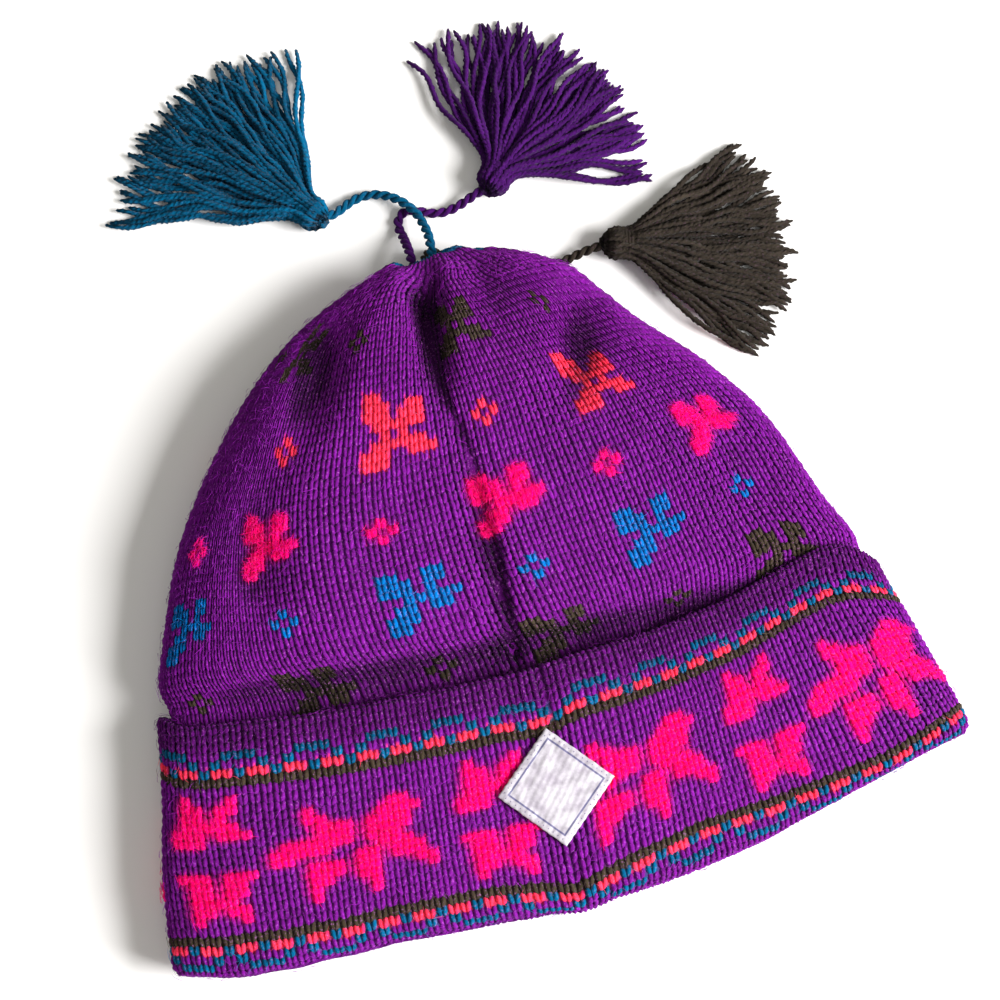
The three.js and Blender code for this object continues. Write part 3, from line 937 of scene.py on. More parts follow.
@dataclass(frozen=True)
class Fuzz:
    """Loose fibres brushed up from a fabric, each a thin spindle with two bends."""

    count: int
    length: tuple[float, float] = (2.5, 6.5)
    radius: float = 0.06
    lift: tuple[float, float] = (0.1, 0.9)
    brightness: float = 1.7

    def skin(self, fabric: Fabric, shading: Shading, column: np.ndarray, row: np.ndarray,
             rng: np.random.Generator) -> Skin:
        """Scatters the fibres.

        A fibre's four places are P + T*s + N*(h + b*(1 - (2s/L)^2)) + S*c*s^2, where T is a
        random direction along the surface, S is square to it and s runs from -L/2 to L/2.

        Args:
            fabric: what the fibres stand on.
            shading: gives their colours.
            column: the wales that they may start from, (n,).
            row: the rounds that go with them, (n,).
            rng: the source of the scatter.

        Returns:
            The fibres as one skin.
        """
        pick = rng.integers(0, len(column), self.count)
        c = column[pick] + rng.uniform(-0.6, 0.6, self.count)
        r = row[pick] + rng.uniform(-0.6, 0.6, self.count)
        place, normal = fabric.read(c, r)
        drift = rng.normal(0.0, 1.0, (self.count, 3))
        along = unit(drift - normal * (drift * normal).sum(-1, keepdims=True))
        side = np.cross(normal, along)
        span = rng.uniform(*self.length, (self.count, 1, 1))
        s = np.array([-0.5, -0.18, 0.18, 0.5])[None, :, None] * span
        high = rng.uniform(*self.lift, (self.count, 1, 1))
        arch = rng.uniform(0.0, 0.9, (self.count, 1, 1)) * (1.0 - (2 * s / span) ** 2) - 0.5
        bend = rng.normal(0.0, 0.12, (self.count, 1, 1)) * s * s
        path = place[:, None] + along[:, None] * s + normal[:, None] * (high + arch) + side[:, None] * bend
        path[..., 2] = np.maximum(path[..., 2], 0.1)
        ahead = unit(path[:, 2] - path[:, 1])
        u = np.cross(ahead, normal)
        w = np.cross(u, ahead)
        turn = np.arange(3) * (2 * np.pi / 3)
        ring = (np.cos(turn)[:, None] * u[:, None] + np.sin(turn)[:, None] * w[:, None]) * self.radius
        points = np.concatenate([path[:, 1:2] + ring, path[:, 2:3] + ring, path[:, :1], path[:, 3:]], 1)
        quads, tris = tube_faces(self.count, 2, 3)
        own = shading.chart.at(c, r)
        shade = self.brightness * np.exp(rng.normal(0, 0.25, (self.count, 1)))
        colours = np.clip(np.repeat(shading.point_colours(c, r, own) * shade, 8, 0), 0.0, 1.0)
        return Skin(points.reshape(-1, 3), quads, tris, colours, np.zeros((self.count * 8, 2)))


def brushed(
    fabric: Fabric,
    shading: Shading,
    column: np.ndarray,
    row: np.ndarray,
    everywhere: int,
    on_pink: int,
    rng: np.random.Generator,
) -> Skin:
    """Fibres all over a fabric, and more of them, shorter and higher, on its pink stitches.

    Args:
        fabric: what the fibres stand on.
        shading: gives their colours.
        column: the columns of the stitches that they may start from, (n,).
        row: their rows, (n,).
        everywhere: how many fibres are spread over all the stitches.
        on_pink: how many more stand on the pink ones.
        rng: the source of the scatter.

    Returns:
        All the fibres as one skin.
    """
    pink = shading.chart.at(column, row) == Yarn.PINK.value
    return join_skins([
        Fuzz(everywhere).skin(fabric, shading, column, row, rng),
        Fuzz(on_pink, (2.5, 5.5), lift=(0.2, 1.3)).skin(fabric, shading, column[pink], row[pink], rng),
    ])


# Finishes

class Nodes:
    """A short way to place and wire shader nodes."""

    def __init__(self, tree: bpy.types.NodeTree) -> None:
        """Empties the tree."""
        self.tree = tree
        tree.nodes.clear()

    def add(self, kind: str, **values: object) -> bpy.types.Node:
        """Adds a node; values set its properties, or its inputs where a name has no such property.

        Args:
            kind: the node's type.
            values: its properties and inputs by name.

        Returns:
            The new node.
        """
        node = self.tree.nodes.new(kind)
        for name, value in values.items():
            if hasattr(node, name):
                setattr(node, name, value)
            else:
                node.inputs[name.replace("_", " ")].default_value = value
        return node

    def link(self, source: bpy.types.NodeSocket, target: bpy.types.NodeSocket) -> None:
        """Joins an output to an input."""
        self.tree.links.new(source, target)

    def set(self, target: bpy.types.NodeSocket, value: object) -> None:
        """Gives an input a value, or joins an output to it.

        Args:
            target: the input.
            value: a number, a colour or an output.
        """
        if isinstance(value, bpy.types.NodeSocket):
            self.link(value, target)
        else:
            target.default_value = value

    def math(self, operation: str, *values: object) -> bpy.types.NodeSocket:
        """One step of arithmetic on outputs or numbers.

        Args:
            operation: the step's name.
            values: its outputs or numbers, in order.

        Returns:
            Its result.
        """
        node = self.add("ShaderNodeMath", operation=operation)
        for slot, value in zip(node.inputs, values):
            self.set(slot, value)
        return node.outputs[0]

    def mix(self, factor: object, first: object, second: object) -> bpy.types.NodeSocket:
        """A colour that goes from the first to the second as the factor goes from 0 to 1.

        Args:
            factor: the share of the second.
            first: a colour.
            second: a colour.

        Returns:
            The mixed colour.
        """
        node = self.add("ShaderNodeMix", data_type="RGBA")
        for slot, value in (("Factor", factor), (6, first), (7, second)):
            self.set(node.inputs[slot], value)
        return node.outputs[2]

    def finish(self, shader: bpy.types.Node, colour: bpy.types.NodeSocket,
               normal: bpy.types.NodeSocket) -> None:
        """Gives the shader its colour and normal, and the material its surface.

        Args:
            shader: the surface's shader.
            colour: its colour.
            normal: its bumped normal.
        """
        self.link(colour, shader.inputs["Base Color"])
        self.link(normal, shader.inputs["Normal"])
        output = self.add("ShaderNodeOutputMaterial")
        self.link(shader.outputs["BSDF"], output.inputs["Surface"])


def fibre_group() -> bpy.types.NodeTree:
    """The look of spun fibres, shared by every yarn.

    Fine noise stretched along the strand lightens and darkens the colour, scattered pale flecks
    stand for single fibres that catch the light, and the same noise gives the height.

    Returns:
        The group, with a colour, scales and amounts in and a colour and a height out.
    """
    group = bpy.data.node_groups.new("spun fibres", "ShaderNodeTree")
    face = group.interface
    face.new_socket("Color", in_out="INPUT", socket_type="NodeSocketColor")
    for name, value in (("Strand Scale", 1.0), ("Variation", 0.35), ("Flecks", 0.25)):
        face.new_socket(name, in_out="INPUT", socket_type="NodeSocketFloat").default_value = value
    face.new_socket("Fleck Color", in_out="INPUT", socket_type="NodeSocketColor")
    face.new_socket("Color", in_out="OUTPUT", socket_type="NodeSocketColor")
    face.new_socket("Height", in_out="OUTPUT", socket_type="NodeSocketFloat")
    nodes = Nodes(group)
    inputs = nodes.add("NodeGroupInput").outputs
    outputs = nodes.add("NodeGroupOutput").inputs
    uv = nodes.add("ShaderNodeUVMap").outputs["UV"]
    place = nodes.add("ShaderNodeTexCoord").outputs["Object"]
    stretch = nodes.add("ShaderNodeVectorMath", operation="MULTIPLY")
    nodes.set(stretch.inputs[0], uv)
    nodes.set(stretch.inputs[1], (9.0, 2.2, 1.0))
    scaled = nodes.add("ShaderNodeVectorMath", operation="SCALE")
    nodes.set(scaled.inputs[0], stretch.outputs[0])
    nodes.set(scaled.inputs["Scale"], inputs["Strand Scale"])

    def noise(vector: bpy.types.NodeSocket, scale: float, detail: float,
              rough: float) -> bpy.types.NodeSocket:
        """Cloudy noise of a scale over a place.

        Args:
            vector: the place.
            scale: its fineness.
            detail: its octaves.
            rough: how strong the finer octaves are.

        Returns:
            The noise's value.
        """
        node = nodes.add("ShaderNodeTexNoise", Scale=scale, Detail=detail, Roughness=rough)
        nodes.link(vector, node.inputs["Vector"])
        return node.outputs["Fac"]

    fine = noise(place, 1500.0, 2.0, 0.6)
    both = nodes.math("ADD", noise(scaled.outputs[0], 1.0, 3.0, 0.6), fine)
    amount = nodes.math("MULTIPLY", nodes.math("SUBTRACT", both, 1.0), inputs["Variation"])
    soft = nodes.math("MULTIPLY_ADD", noise(place, 60.0, 2.0, 0.5), 0.36, 0.82)
    tint = nodes.add("ShaderNodeVectorMath", operation="SCALE")
    nodes.set(tint.inputs[0], inputs["Color"])
    nodes.set(tint.inputs["Scale"], nodes.math("MULTIPLY_ADD", amount, 2.0, soft))
    fleck = nodes.add("ShaderNodeMapRange", From_Min=0.58, From_Max=0.74)
    nodes.link(fine, fleck.inputs["Value"])
    share = nodes.math("MULTIPLY", fleck.outputs["Result"], inputs["Flecks"])
    nodes.link(nodes.mix(share, tint.outputs[0], inputs["Fleck Color"]), outputs["Color"])
    nodes.link(both, outputs["Height"])
    return group


@dataclass(frozen=True)
class YarnFinish:
    """A yarn's surface: its colour comes from the piece's own yarn attribute."""

    name: str
    strand_scale: float = 1.0
    variation: float = 0.35
    # the flecks are painted highlights: single fibres that catch the light
    flecks: float = 0.40
    fleck_colour: tuple[float, float, float] = (0.52, 0.16, 0.56)
    roughness: float = 1.0
    sheen: float = 0.03
    bump: float = 0.6

    def build(self, group: bpy.types.NodeTree) -> bpy.types.Material:
        """Wires the shared fibre group into a rough, softly sheened surface.

        Args:
            group: the shared fibre group.

        Returns:
            The material.
        """
        material = bpy.data.materials.new(self.name)
        material.use_nodes = True
        nodes = Nodes(material.node_tree)
        colour = nodes.add("ShaderNodeAttribute", attribute_name="yarn")
        fibres = nodes.add(
            "ShaderNodeGroup", node_tree=group, Variation=self.variation, Flecks=self.flecks,
            Fleck_Color=(*self.fleck_colour, 1.0), Strand_Scale=self.strand_scale,
        )
        nodes.link(colour.outputs["Color"], fibres.inputs["Color"])
        bump = nodes.add("ShaderNodeBump", Strength=self.bump, Distance=0.0003)
        nodes.link(fibres.outputs["Height"], bump.inputs["Height"])
        shader = nodes.add(
            "ShaderNodeBsdfPrincipled", Roughness=self.roughness, Sheen_Weight=self.sheen,
            Sheen_Roughness=0.5, Specular_IOR_Level=0.04,
        )
        nodes.finish(shader, fibres.outputs["Color"], bump.outputs["Normal"])
        return material


# Sub-assemblies

@dataclass
class Crown:
    """The hollow body of the hat, above the cuff, with its wall and its stitches."""

    form: HatForm
    columns: int = 144
    # a round's row number and its place in the table of sections
    rounds: tuple[tuple[float, float], ...] = (
        (-5.0, 1.8), (-2.0, 2.3), (4.0, 3.35), (13.0, 4.9), (22.0, 5.8), (32.0, 6.96),
        (43.0, 8.3), (48.0, 9.0), (53.0, 10.0), (56.0, 11.0), (58.0, 12.0),
    )
    # where the wales that the motifs stand on lie across the front: a place in the table of
    # sections, then each wale's share of the half width to the left (-) or right (+)
    marked: tuple[float, ...] = (-30.0, -18.0, -6.0, 6.0, 18.0, 30.0)
    lie: tuple[tuple[float, ...], ...] = (
        (2.3, -0.90, -0.61, -0.25, 0.145, 0.43, 0.75),
        (8.3, -0.915, -0.78, -0.38, 0.035, 0.50, 0.84),
        (9.3, -0.95, -0.75, -0.41, -0.01, 0.39, 0.78),
        (12.0, -0.81, -0.57, -0.28, 0.09, 0.41, 0.73),
    )
    # the motif rows: centre row, yarn and large motif, from the cuff upwards
    motif_rows: tuple[tuple[int, Yarn, tuple[str, ...]], ...] = (
        (4, Yarn.CHARCOAL, MIDDLE_BUTTERFLY),
        (13, Yarn.BLUE, MIDDLE_BUTTERFLY),
        (22, Yarn.PINK, MIDDLE_BUTTERFLY),
        (32, Yarn.CORAL, BIG_BUTTERFLY),
        (43, Yarn.CHARCOAL, BIG_BUTTERFLY),
    )
    # motifs that the side folds tuck out of sight, as level and wale
    tucked: tuple[tuple[int, int], ...] = ((1, 42), (2, -42), (3, -30), (3, 30), (4, 30))
    # motifs that stand a few wales beside their place: level, wale and wales to the right
    beside: tuple[tuple[int, int, int], ...] = (
        (0, -18, 2), (0, -6, 1), (1, -18, 2), (1, -6, 2), (1, 30, -1), (2, -18, 1), (2, 18, -2),
        (2, 30, -1), (3, -18, 2), (3, -6, 2), (3, 18, 1),
        (4, -18, -2), (4, -6, -3), (4, 18, 2),
    )
    # how far each round is moved up along those wales: a row number, then the marked wales
    slides: tuple[tuple[float, ...], ...] = (
        (4.0, -1.0, -2.0, -1.75, 0.25, 0.75, 4.5),
        (13.0, 1.0, -0.75, -1.0, 0.0, 1.0, 4.0),
        (22.0, 0.5, 0.0, -1.0, -0.5, 1.0, 2.5),
        (32.0, -1.0, -1.25, -1.25, -0.5, 0.5, 1.0),
        (43.0, -1.0, -1.0, -0.5, -0.5, 0.5, 0.5),
        (54.0, 0.0, 0.0, 0.0, 0.0, 0.0, 0.0),
    )
    # the first teal round, the rounds from which stitches merge by twos and fours, and the last
    teal_from: int = 56
    halves_from: int = 48
    quarters_from: int = 52
    last_row: int = 57
    wall_inset: float = 0.8
    pink_puff: float = 1.4
    fibres: int = 4400
    pink_fibres: int = 2600
    seam: Seam = Seam(((-4.5, -34.0), (-2.3, -2.0), (-2.5, 31.0), (-5.5, 50.0)), 1.5, 1.5)
    # the pit that the seam is drawn into above the cuff: x, y, depth and width, and how much painted shade
    # darkens it
    pit: tuple[float, float, float, float] = (-5.5, -30.0, 1.4, 4.0)
    pit_painted_shade: float = 0.85

    def chart(self) -> Chart:
        """Draws the body's lattice: large and small motifs by turns, twelve wales apart.

        Returns:
            The chart.
        """
        chart = Chart.plain(self.columns, -5, 64)
        tucked = {(level, wale % self.columns) for level, wale in self.tucked}
        beside = {(level, wale % self.columns): step for level, wale, step in self.beside}
        for level, (row, yarn, large) in enumerate(self.motif_rows):
            for k in range(self.columns // 12):
                column = 6 + 12 * k
                if (level, column) in tucked:
                    continue
                column += beside.get((level, column), 0)
                if (k + level) % 2 == 0:
                    chart.draw(large, yarn, column - 3, row + len(large) // 2)
                else:
                    chart.draw(SMALL_RING, yarn, column - 1, row + 1)
        chart.yarns[self.teal_from - chart.first_row:] = Yarn.TEAL.value
        return chart

    def fabric(self) -> Fabric:
        """Lays the tube of knit over the form, with the seam's groove and a slight unevenness.

        Returns:
            The crown's fabric.
        """
        table = np.array(self.rounds)
        rows = np.arange(table[0, 0], table[-1, 0] + 0.25, 0.5)
        v = monotone(table[:, 0], table[:, 1:], rows)[:, 0]
        lie = np.array(self.lie)
        here = self.form.section(v)
        shares = np.stack([np.interp(v, lie[:, 0], column) for column in lie[:, 1:].T], -1)
        marked_x = (here[:, :1] + here[:, 1:2]) / 2 + shares * (here[:, 1:2] - here[:, :1]) / 2
        grow = np.zeros(len(v))
        grid = lay_columns(
            self.form, lambda a: self.form.point(v[:, None], a, 0.0), v, grow,
            self.columns, self.marked, marked_x,
        )
        grid = slide_rounds(grid, rows, self.columns, self.marked, self.slides)
        x, y, z = np.moveaxis(grid, -1, 0)
        ends = smoothstep(-40.0, -33.0, y) * (1 - smoothstep(48.0, 66.0, y))
        groove = self.seam.groove(x, y) * ends
        uneven = 0.35 * np.sin(x * 0.21 + 1.3 * np.sin(y * 0.11)) * np.sin(y * 0.17 + 0.6)
        pit = self.pit[2] * self.near_pit(x, y)
        grid[..., 2] -= np.where(z > FRONT_HEIGHT, groove + pit - uneven, 0.0)
        return Fabric.from_grid(self.columns, table[0, 0], grid)

    def near_pit(self, x: np.ndarray, y: np.ndarray) -> np.ndarray:
        """How near a place is to the pit's middle: exp(-(distance / width)^2)."""
        pit_x, pit_y, _, wide = self.pit
        return np.exp(-((x - pit_x) ** 2 + (y - pit_y) ** 2) / wide ** 2)

    def wall(self, fabric: Fabric, shading: Shading) -> Skin:
        """The closed wall under the stitches.

        Its outer face is the fabric moved inwards, on the front as low as its lowest neighbour, so
        that it stays under the narrow seam; from the rim the inner face goes back up
        inside at the wall's thickness and ends in a shallow dome.

        Args:
            fabric: the crown's fabric.
            shading: its colours.

        Returns:
            The closed skin.
        """
        around = self.columns
        columns = np.arange(float(around))
        angle = -columns / around * 2 * np.pi
        low = self.form.point(np.arange(0.0, 2.1, 0.5)[:, None], angle[None], -0.2)
        rows = np.arange(-1.5, self.last_row + 0.5, 1.0)
        shape = (len(rows), around)
        where = (np.broadcast_to(columns[None], shape), np.broadcast_to(rows[:, None], shape))
        centres, normals = fabric.read(*where)
        outer = centres - normals * self.wall_inset
        outer[..., 2] = sink_to_neighbours(outer[..., 2])
        outer[..., 2] = np.maximum(outer[..., 2], 0.4)
        shift = np.argmin(np.linalg.norm(low[-1][None] - outer[0][:, None], axis=-1)[0])
        low = np.roll(low, -int(shift), 1)
        inner_v = np.append(np.arange(15) * 0.6, 9.2)
        inner = self.form.point(inner_v[:, None], angle[None], -self.form.wall)
        inner = np.roll(inner, -int(shift), 1)
        middle = inner[-1].mean(0)
        dome = np.stack([
            middle + (inner[-1] - middle) * share + np.array([0, (1 - share) * self.form.dome_rise, 0])
            for share in (0.7, 0.3)
        ])
        rings = np.concatenate([dome[::-1], inner[::-1], low, outer])
        count = len(rings)
        points = rings.reshape(-1, 3)
        poles = np.stack([middle + [0, self.form.dome_rise, 0], np.array(self.form.gather)])
        quads, tris = tube_faces(1, count, around)
        colours = shading.wall_colours(count, slice(count - len(outer), None), where)
        uv = np.stack(np.broadcast_arrays(columns[None] * 0.5, np.arange(count)[:, None] * 0.5), -1)
        return Skin(
            np.concatenate([points, poles]), quads, tris,
            np.concatenate([colours, colours[:1], colours[-1:]]),
            np.concatenate([uv.reshape(-1, 2), np.zeros((2, 2))]),
        )

    def build(self, finish: bpy.types.Material, rng: np.random.Generator) -> list[bpy.types.Object]:
        """Makes the wall and four panels of stitches, and puts them in the crown's place.

        Args:
            finish: the yarn's material.
            rng: the run's random numbers.

        Returns:
            The wall, the panels and the loose fibres.
        """
        fabric = self.fabric()
        # painted shade: the rounds next to the cuff darkened by up to half, where the crown goes under the
        # cuff's upper fold
        shading = Shading(self.chart(), fabric, rng, 0.5, (3.0, -0.5))
        x, y, z = np.moveaxis(fabric.grid, -1, 0)
        # painted shade: the stitches round the pit darkened, on the front only
        shading.painted_shade *= 1.0 - self.pit_painted_shade * self.near_pit(x, y) * (z > FRONT_HEIGHT)
        pieces = [make_piece("crown_wall", self.wall(fabric, shading), finish)]
        quarter = self.columns // 4
        for k, name in enumerate(("front_left", "front_right", "back_right", "back_left")):
            start, end = (k - 1) * quarter, k * quarter
            skins = []
            for merge, first, last in (
                (1, -1, self.halves_from), (2, self.halves_from, self.quarters_from),
                (4, self.quarters_from, self.last_row + 1),
            ):
                places = np.arange(start, end, merge) + (merge - 1) / 2
                row, column = np.meshgrid(np.arange(first, last), places, indexing="ij")
                column, row = column.ravel().astype(float), row.ravel().astype(float)
                own = shading.chart.at(column, row)
                puff = np.where(own == Yarn.PINK.value, self.pink_puff, 1.0)
                colours = shading.stitch_colours(column, row)
                skins.append(Stitch().legs(fabric, column, row, colours, merge, rng, puff))
            pieces.append(make_piece(f"crown_stitches_{name}", join_skins(skins), finish))
        row, column = np.meshgrid(np.arange(-1.0, 54.0), np.arange(self.columns * 1.0), indexing="ij")
        fibres = brushed(fabric, shading, column.ravel(), row.ravel(), self.fibres, self.pink_fibres, rng)
        pieces.append(make_piece("crown_fibres", fibres, finish))
        for piece in pieces:
            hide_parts("crown")
            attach(piece, "root")
        return pieces


@dataclass
class Cuff:
    """The turned-up band: stitches from the hem's fold over the outer face to the upper fold."""

    form: HatForm
    columns: int = 144
    marked: tuple[float, ...] = (-30.0, -18.0, -6.0, 6.0, 18.0, 30.0)
    lie: tuple[tuple[float, ...], ...] = (
        (0.0, -109.0, -66.0, -23.0, 22.0, 65.0, 108.0),
        (1.0, -107.5, -63.5, -21.5, 23.5, 63.5, 104.0),
        (2.0, -105.0, -60.5, -19.5, 25.0, 62.0, 100.0),
        (3.0, -102.0, -58.5, -18.5, 25.0, 60.0, 97.0),
    )
    round_height: float = 2.7
    # the two charcoal rounds, the last one, and how far up the front's middle the lower dark one lies
    lower_dark_row: int = 10
    upper_dark_row: int = 28
    last_row: int = 37
    lower_dark_y: float = -97.5
    wall_inset: float = 0.75
    pink_puff: float = 1.45
    # how full the stitches are that the patch presses flat
    pressed: float = 0.9
    fibres: int = 3300
    pink_fibres: int = 3800
    seam: Seam = Seam(((-4.0, -109.0), (-2.0, -79.0), (0.9, -53.0), (0.4, -32.0)), 1.3, 1.6)
    # how far up the front's upper fold is moved, as places (x, up)
    upper_line: tuple[tuple[float, float], ...] = (
        (-120.0, -3.0), (-104.0, -5.5), (-70.0, -6.7), (-26.0, -6.5), (-4.0, -6.0), (10.0, -4.7),
        (37.0, -3.4), (62.0, 0.0), (78.0, 4.0), (95.0, 8.0), (103.0, 7.3), (112.0, 3.5), (120.0, 0.0),
    )
    wales: tuple[float, ...] = (
        -35.0, -28.0, -21.0, -15.0, -9.0, -5.0, -1.5, 2.0, 5.0, 10.0, 15.0, 21.0, 27.0, 31.0, 35.0,
    )
    # how far each round is moved up along those wales
    slides: tuple[tuple[float, ...], ...] = (
        (10.0, -.7, -.7, -1.4, -1.5, -1.4, -1.7, -2.3, -1.7, -1.0, -.3, -.8, -1.8, -2.7, -2.3, -1.0),
        (28.0, 0, 0, 0, 0, 0, 0, -.6, 0, 0, 0, 0, 0, 0, 0, 0),
    )

    def profile(self) -> np.ndarray:
        """The stitched line across the cuff, as places in the sections, rises and distances out.

        It runs down the hem's inner side, round the hem's fold as half a circle, up the outer
        face, over the upper fold as a smaller half circle and a little down behind it.

        Returns:
            One line for each step along the profile.
        """
        outer = self.form.seat + self.form.cuff_wall
        middle, radius = (outer - self.form.wall) / 2, (outer + self.form.wall) / 2
        hem = -self.form.seat - 1.2
        turn = np.linspace(0.0, np.pi, 25)
        fold = np.stack([0 * turn, hem - radius * np.sin(turn), middle - radius * np.cos(turn)], 1)
        rise = np.linspace(0.05, 2.92, 60)
        face = np.stack([rise, 0 * rise, outer + 0 * rise], 1)
        small = self.form.cuff_wall / 2
        upper = np.stack([
            2.92 + 0 * turn, small * np.sin(turn), self.form.seat + small + small * np.cos(turn),
        ], 1)
        down = np.linspace(2.85, 2.3, 8)
        behind = np.stack([down, 0 * down, self.form.seat + 0 * down], 1)
        return np.concatenate([fold, face, upper[1:], behind])

    def fabric(self) -> Fabric:
        """Measures the profile at the front's middle, sets the rows on it and lays the columns.

        Returns:
            The cuff's fabric.
        """
        line = self.profile()
        middle = self.form.point(line[:, 0], np.full(len(line), np.pi / 2), line[:, 2])
        middle[:, 1] += line[:, 1]
        along = np.concatenate([[0.0], np.cumsum(np.linalg.norm(np.diff(middle, axis=0), axis=1))])
        face = slice(25, 85)
        dark = np.interp(self.lower_dark_y, middle[face, 1], along[face])
        first = self.lower_dark_row - dark / self.round_height
        rows = np.arange(math.ceil(first * 2) / 2, self.last_row + 0.75, 0.5)
        where = dark + (rows - self.lower_dark_row) * self.round_height
        v, up, grow = (np.interp(where, along, line[:, k]) for k in range(3))
        lie = np.array(self.lie)
        marked_x = monotone(lie[:, 0], lie[:, 1:], np.clip(v, 0.0, 3.0))

        levels = np.linspace(0.0, 5.0, 201)
        heights = self.form.section(levels)[:, 3]
        line = np.array(self.upper_line)

        def rounds(angles: np.ndarray) -> np.ndarray:
            """Points of every round, lifted by the profile's own rise and the upper fold's line.

            Args:
                angles: angles round the hat.

            Returns:
                The points.
            """
            base = self.form.point(v[:, None], angles, grow[:, None])
            share = smoothstep(0.4, 2.2, v)[:, None] * smoothstep(0.0, 0.4, np.sin(angles))
            lift = np.interp(base[..., 0], line[:, 0], line[:, 1]) * share
            moved = np.interp(v, levels, heights)[:, None] + lift
            points = self.form.point(np.interp(moved, heights, levels), angles, grow[:, None])
            points[..., 1] += up[:, None]
            return points

        grid = lay_columns(self.form, rounds, v, grow, self.columns, self.marked, marked_x)
        grid = slide_rounds(grid, rows, self.columns, self.wales, self.slides)
        x, y, z = np.moveaxis(grid, -1, 0)
        uneven = 0.3 * np.sin(x * 0.19 + 0.5) * np.sin(y * 0.23 + 1.1 * np.sin(x * 0.07))
        grid[..., 2] -= np.where(z > 18.0, self.seam.groove(x, y) - uneven, 0.0)
        self.first_row = float(rows[0])
        return Fabric.from_grid(self.columns, self.first_row, grid)

    def chart(self) -> Chart:
        """Draws the two striped bands, the paired butterflies and the flowers.

        Returns:
            The chart.
        """
        first = int(math.floor(self.first_row))
        chart = Chart.plain(self.columns, first, self.last_row + 2 - first)
        column = np.arange(self.columns)
        step = (column - 1) % 6
        for dark, up in ((self.upper_dark_row, 1), (self.lower_dark_row, -1)):
            stripe = [dark + up * k - first for k in range(4)]
            chart.yarns[stripe[0]] = Yarn.CHARCOAL.value
            chart.yarns[stripe[1]] = np.where(step % 3 == 2, Yarn.TEAL.value, Yarn.CORAL.value)
            chart.yarns[stripe[2], (step == 0) | (step == 4)] = Yarn.TEAL.value
            chart.yarns[stripe[3], (step >= 1) & (step <= 3)] = Yarn.TEAL.value
        top = self.upper_dark_row
        for centre in range(-30, self.columns - 30, 24):
            chart.draw(CUFF_BUTTERFLY_UPPER, Yarn.PINK, centre - 3, top - 2)
            chart.draw(CUFF_BUTTERFLY_LOWER, Yarn.PINK, centre - 3, top - 11)
            chart.draw(CUFF_FLOWER, Yarn.PINK, centre + 12 - 7, top - 4)
        return chart

    def wall(self, fabric: Fabric, shading: Shading) -> Skin:
        """The closed wall under the stitches, from the hem round to the upper fold and back.

        Args:
            fabric: the cuff's fabric.
            shading: its colours.

        Returns:
            The closed skin.
        """
        around = self.columns
        rows = np.arange(self.first_row, self.last_row + 0.25, 0.5)
        columns = np.arange(around, dtype=float)
        shape = (len(rows), around)
        where = (np.broadcast_to(columns[None], shape), np.broadcast_to(rows[:, None], shape))
        centres, normals = fabric.read(*where)
        outer = centres - normals * self.wall_inset
        outer[..., 2] = sink_to_neighbours(outer[..., 2])
        angle = -columns / around * 2 * np.pi
        inner = self.form.point(np.array([2.2, 1.5, 0.8, 0.1])[:, None], angle[None], self.form.seat)
        shift = int(np.argmin(np.linalg.norm(inner[0] - outer[-1][0], axis=-1)))
        inner = np.roll(inner, -shift, 1)
        lip = self.form.point(0.0, angle[None], np.array([[-self.form.wall + 0.9]]))
        lip = np.roll(lip, -shift, 1) - np.array([0.0, self.form.seat, 0.0])
        rings = np.concatenate([outer, inner, lip])
        rings[..., 2] = np.maximum(rings[..., 2], 0.3)
        count = len(rings)
        ring = np.arange(count)[:, None] * around
        after_ring = (np.arange(count)[:, None] + 1) % count * around
        side = np.arange(around)[None]
        after = (side + 1) % around
        quads = np.stack([ring + side, ring + after, after_ring + after, after_ring + side], -1)
        colours = shading.wall_colours(count, slice(len(rows)), where)
        uv = np.stack(np.broadcast_arrays(side * 0.5, np.arange(count)[:, None] * 0.5), -1)
        return Skin(rings.reshape(-1, 3), quads.reshape(-1, 4), colours=colours, uv=uv.reshape(-1, 2))

    def build(self, finish: bpy.types.Material, rng: np.random.Generator,
              label: "LabelPatch") -> list[bpy.types.Object]:
        """Makes the wall and two panels of stitches, pressed flat where the patch is sewn on.

        Args:
            finish: the yarn's material.
            rng: the run's random numbers.
            label: the patch that presses on the knit.

        Returns:
            The wall, the panels and the loose fibres.
        """
        fabric = self.fabric()
        # painted shade: the rounds of the upper fold, which roll away from the light, darkened by up to
        # half
        shading = Shading(self.chart(), fabric, rng, 0.5)
        pieces = [make_piece("cuff_wall", self.wall(fabric, shading), finish)]
        for name, start, end in (("front", -36, 36), ("back", 36, 108)):
            rounds = np.arange(math.ceil(self.first_row) + 1, self.last_row + 1)
            row, column = np.meshgrid(rounds, np.arange(start, end), indexing="ij")
            column, row = column.ravel().astype(float), row.ravel().astype(float)
            own = shading.chart.at(column, row)
            puff = np.where(own == Yarn.PINK.value, self.pink_puff, 1.0)
            puff = np.where(label.covers(fabric.read(column, row)[0]), self.pressed, puff)
            colours = shading.stitch_colours(column, row)
            skin = Stitch().legs(fabric, column, row, colours, 1, rng, puff)
            pieces.append(make_piece(f"cuff_stitches_{name}", skin, finish))
        row, column = np.meshgrid(np.arange(3.0, 37.0), np.arange(self.columns * 1.0), indexing="ij")
        row, column = row.ravel(), column.ravel()
        bare = ~label.covers(fabric.read(column, row)[0], 1.5)
        fibres = brushed(fabric, shading, column[bare], row[bare], self.fibres, self.pink_fibres, rng)
        pieces.append(make_piece("cuff_fibres", fibres, finish))
        for piece in pieces:
            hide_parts("cuff")
            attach(piece, "root")
        return pieces


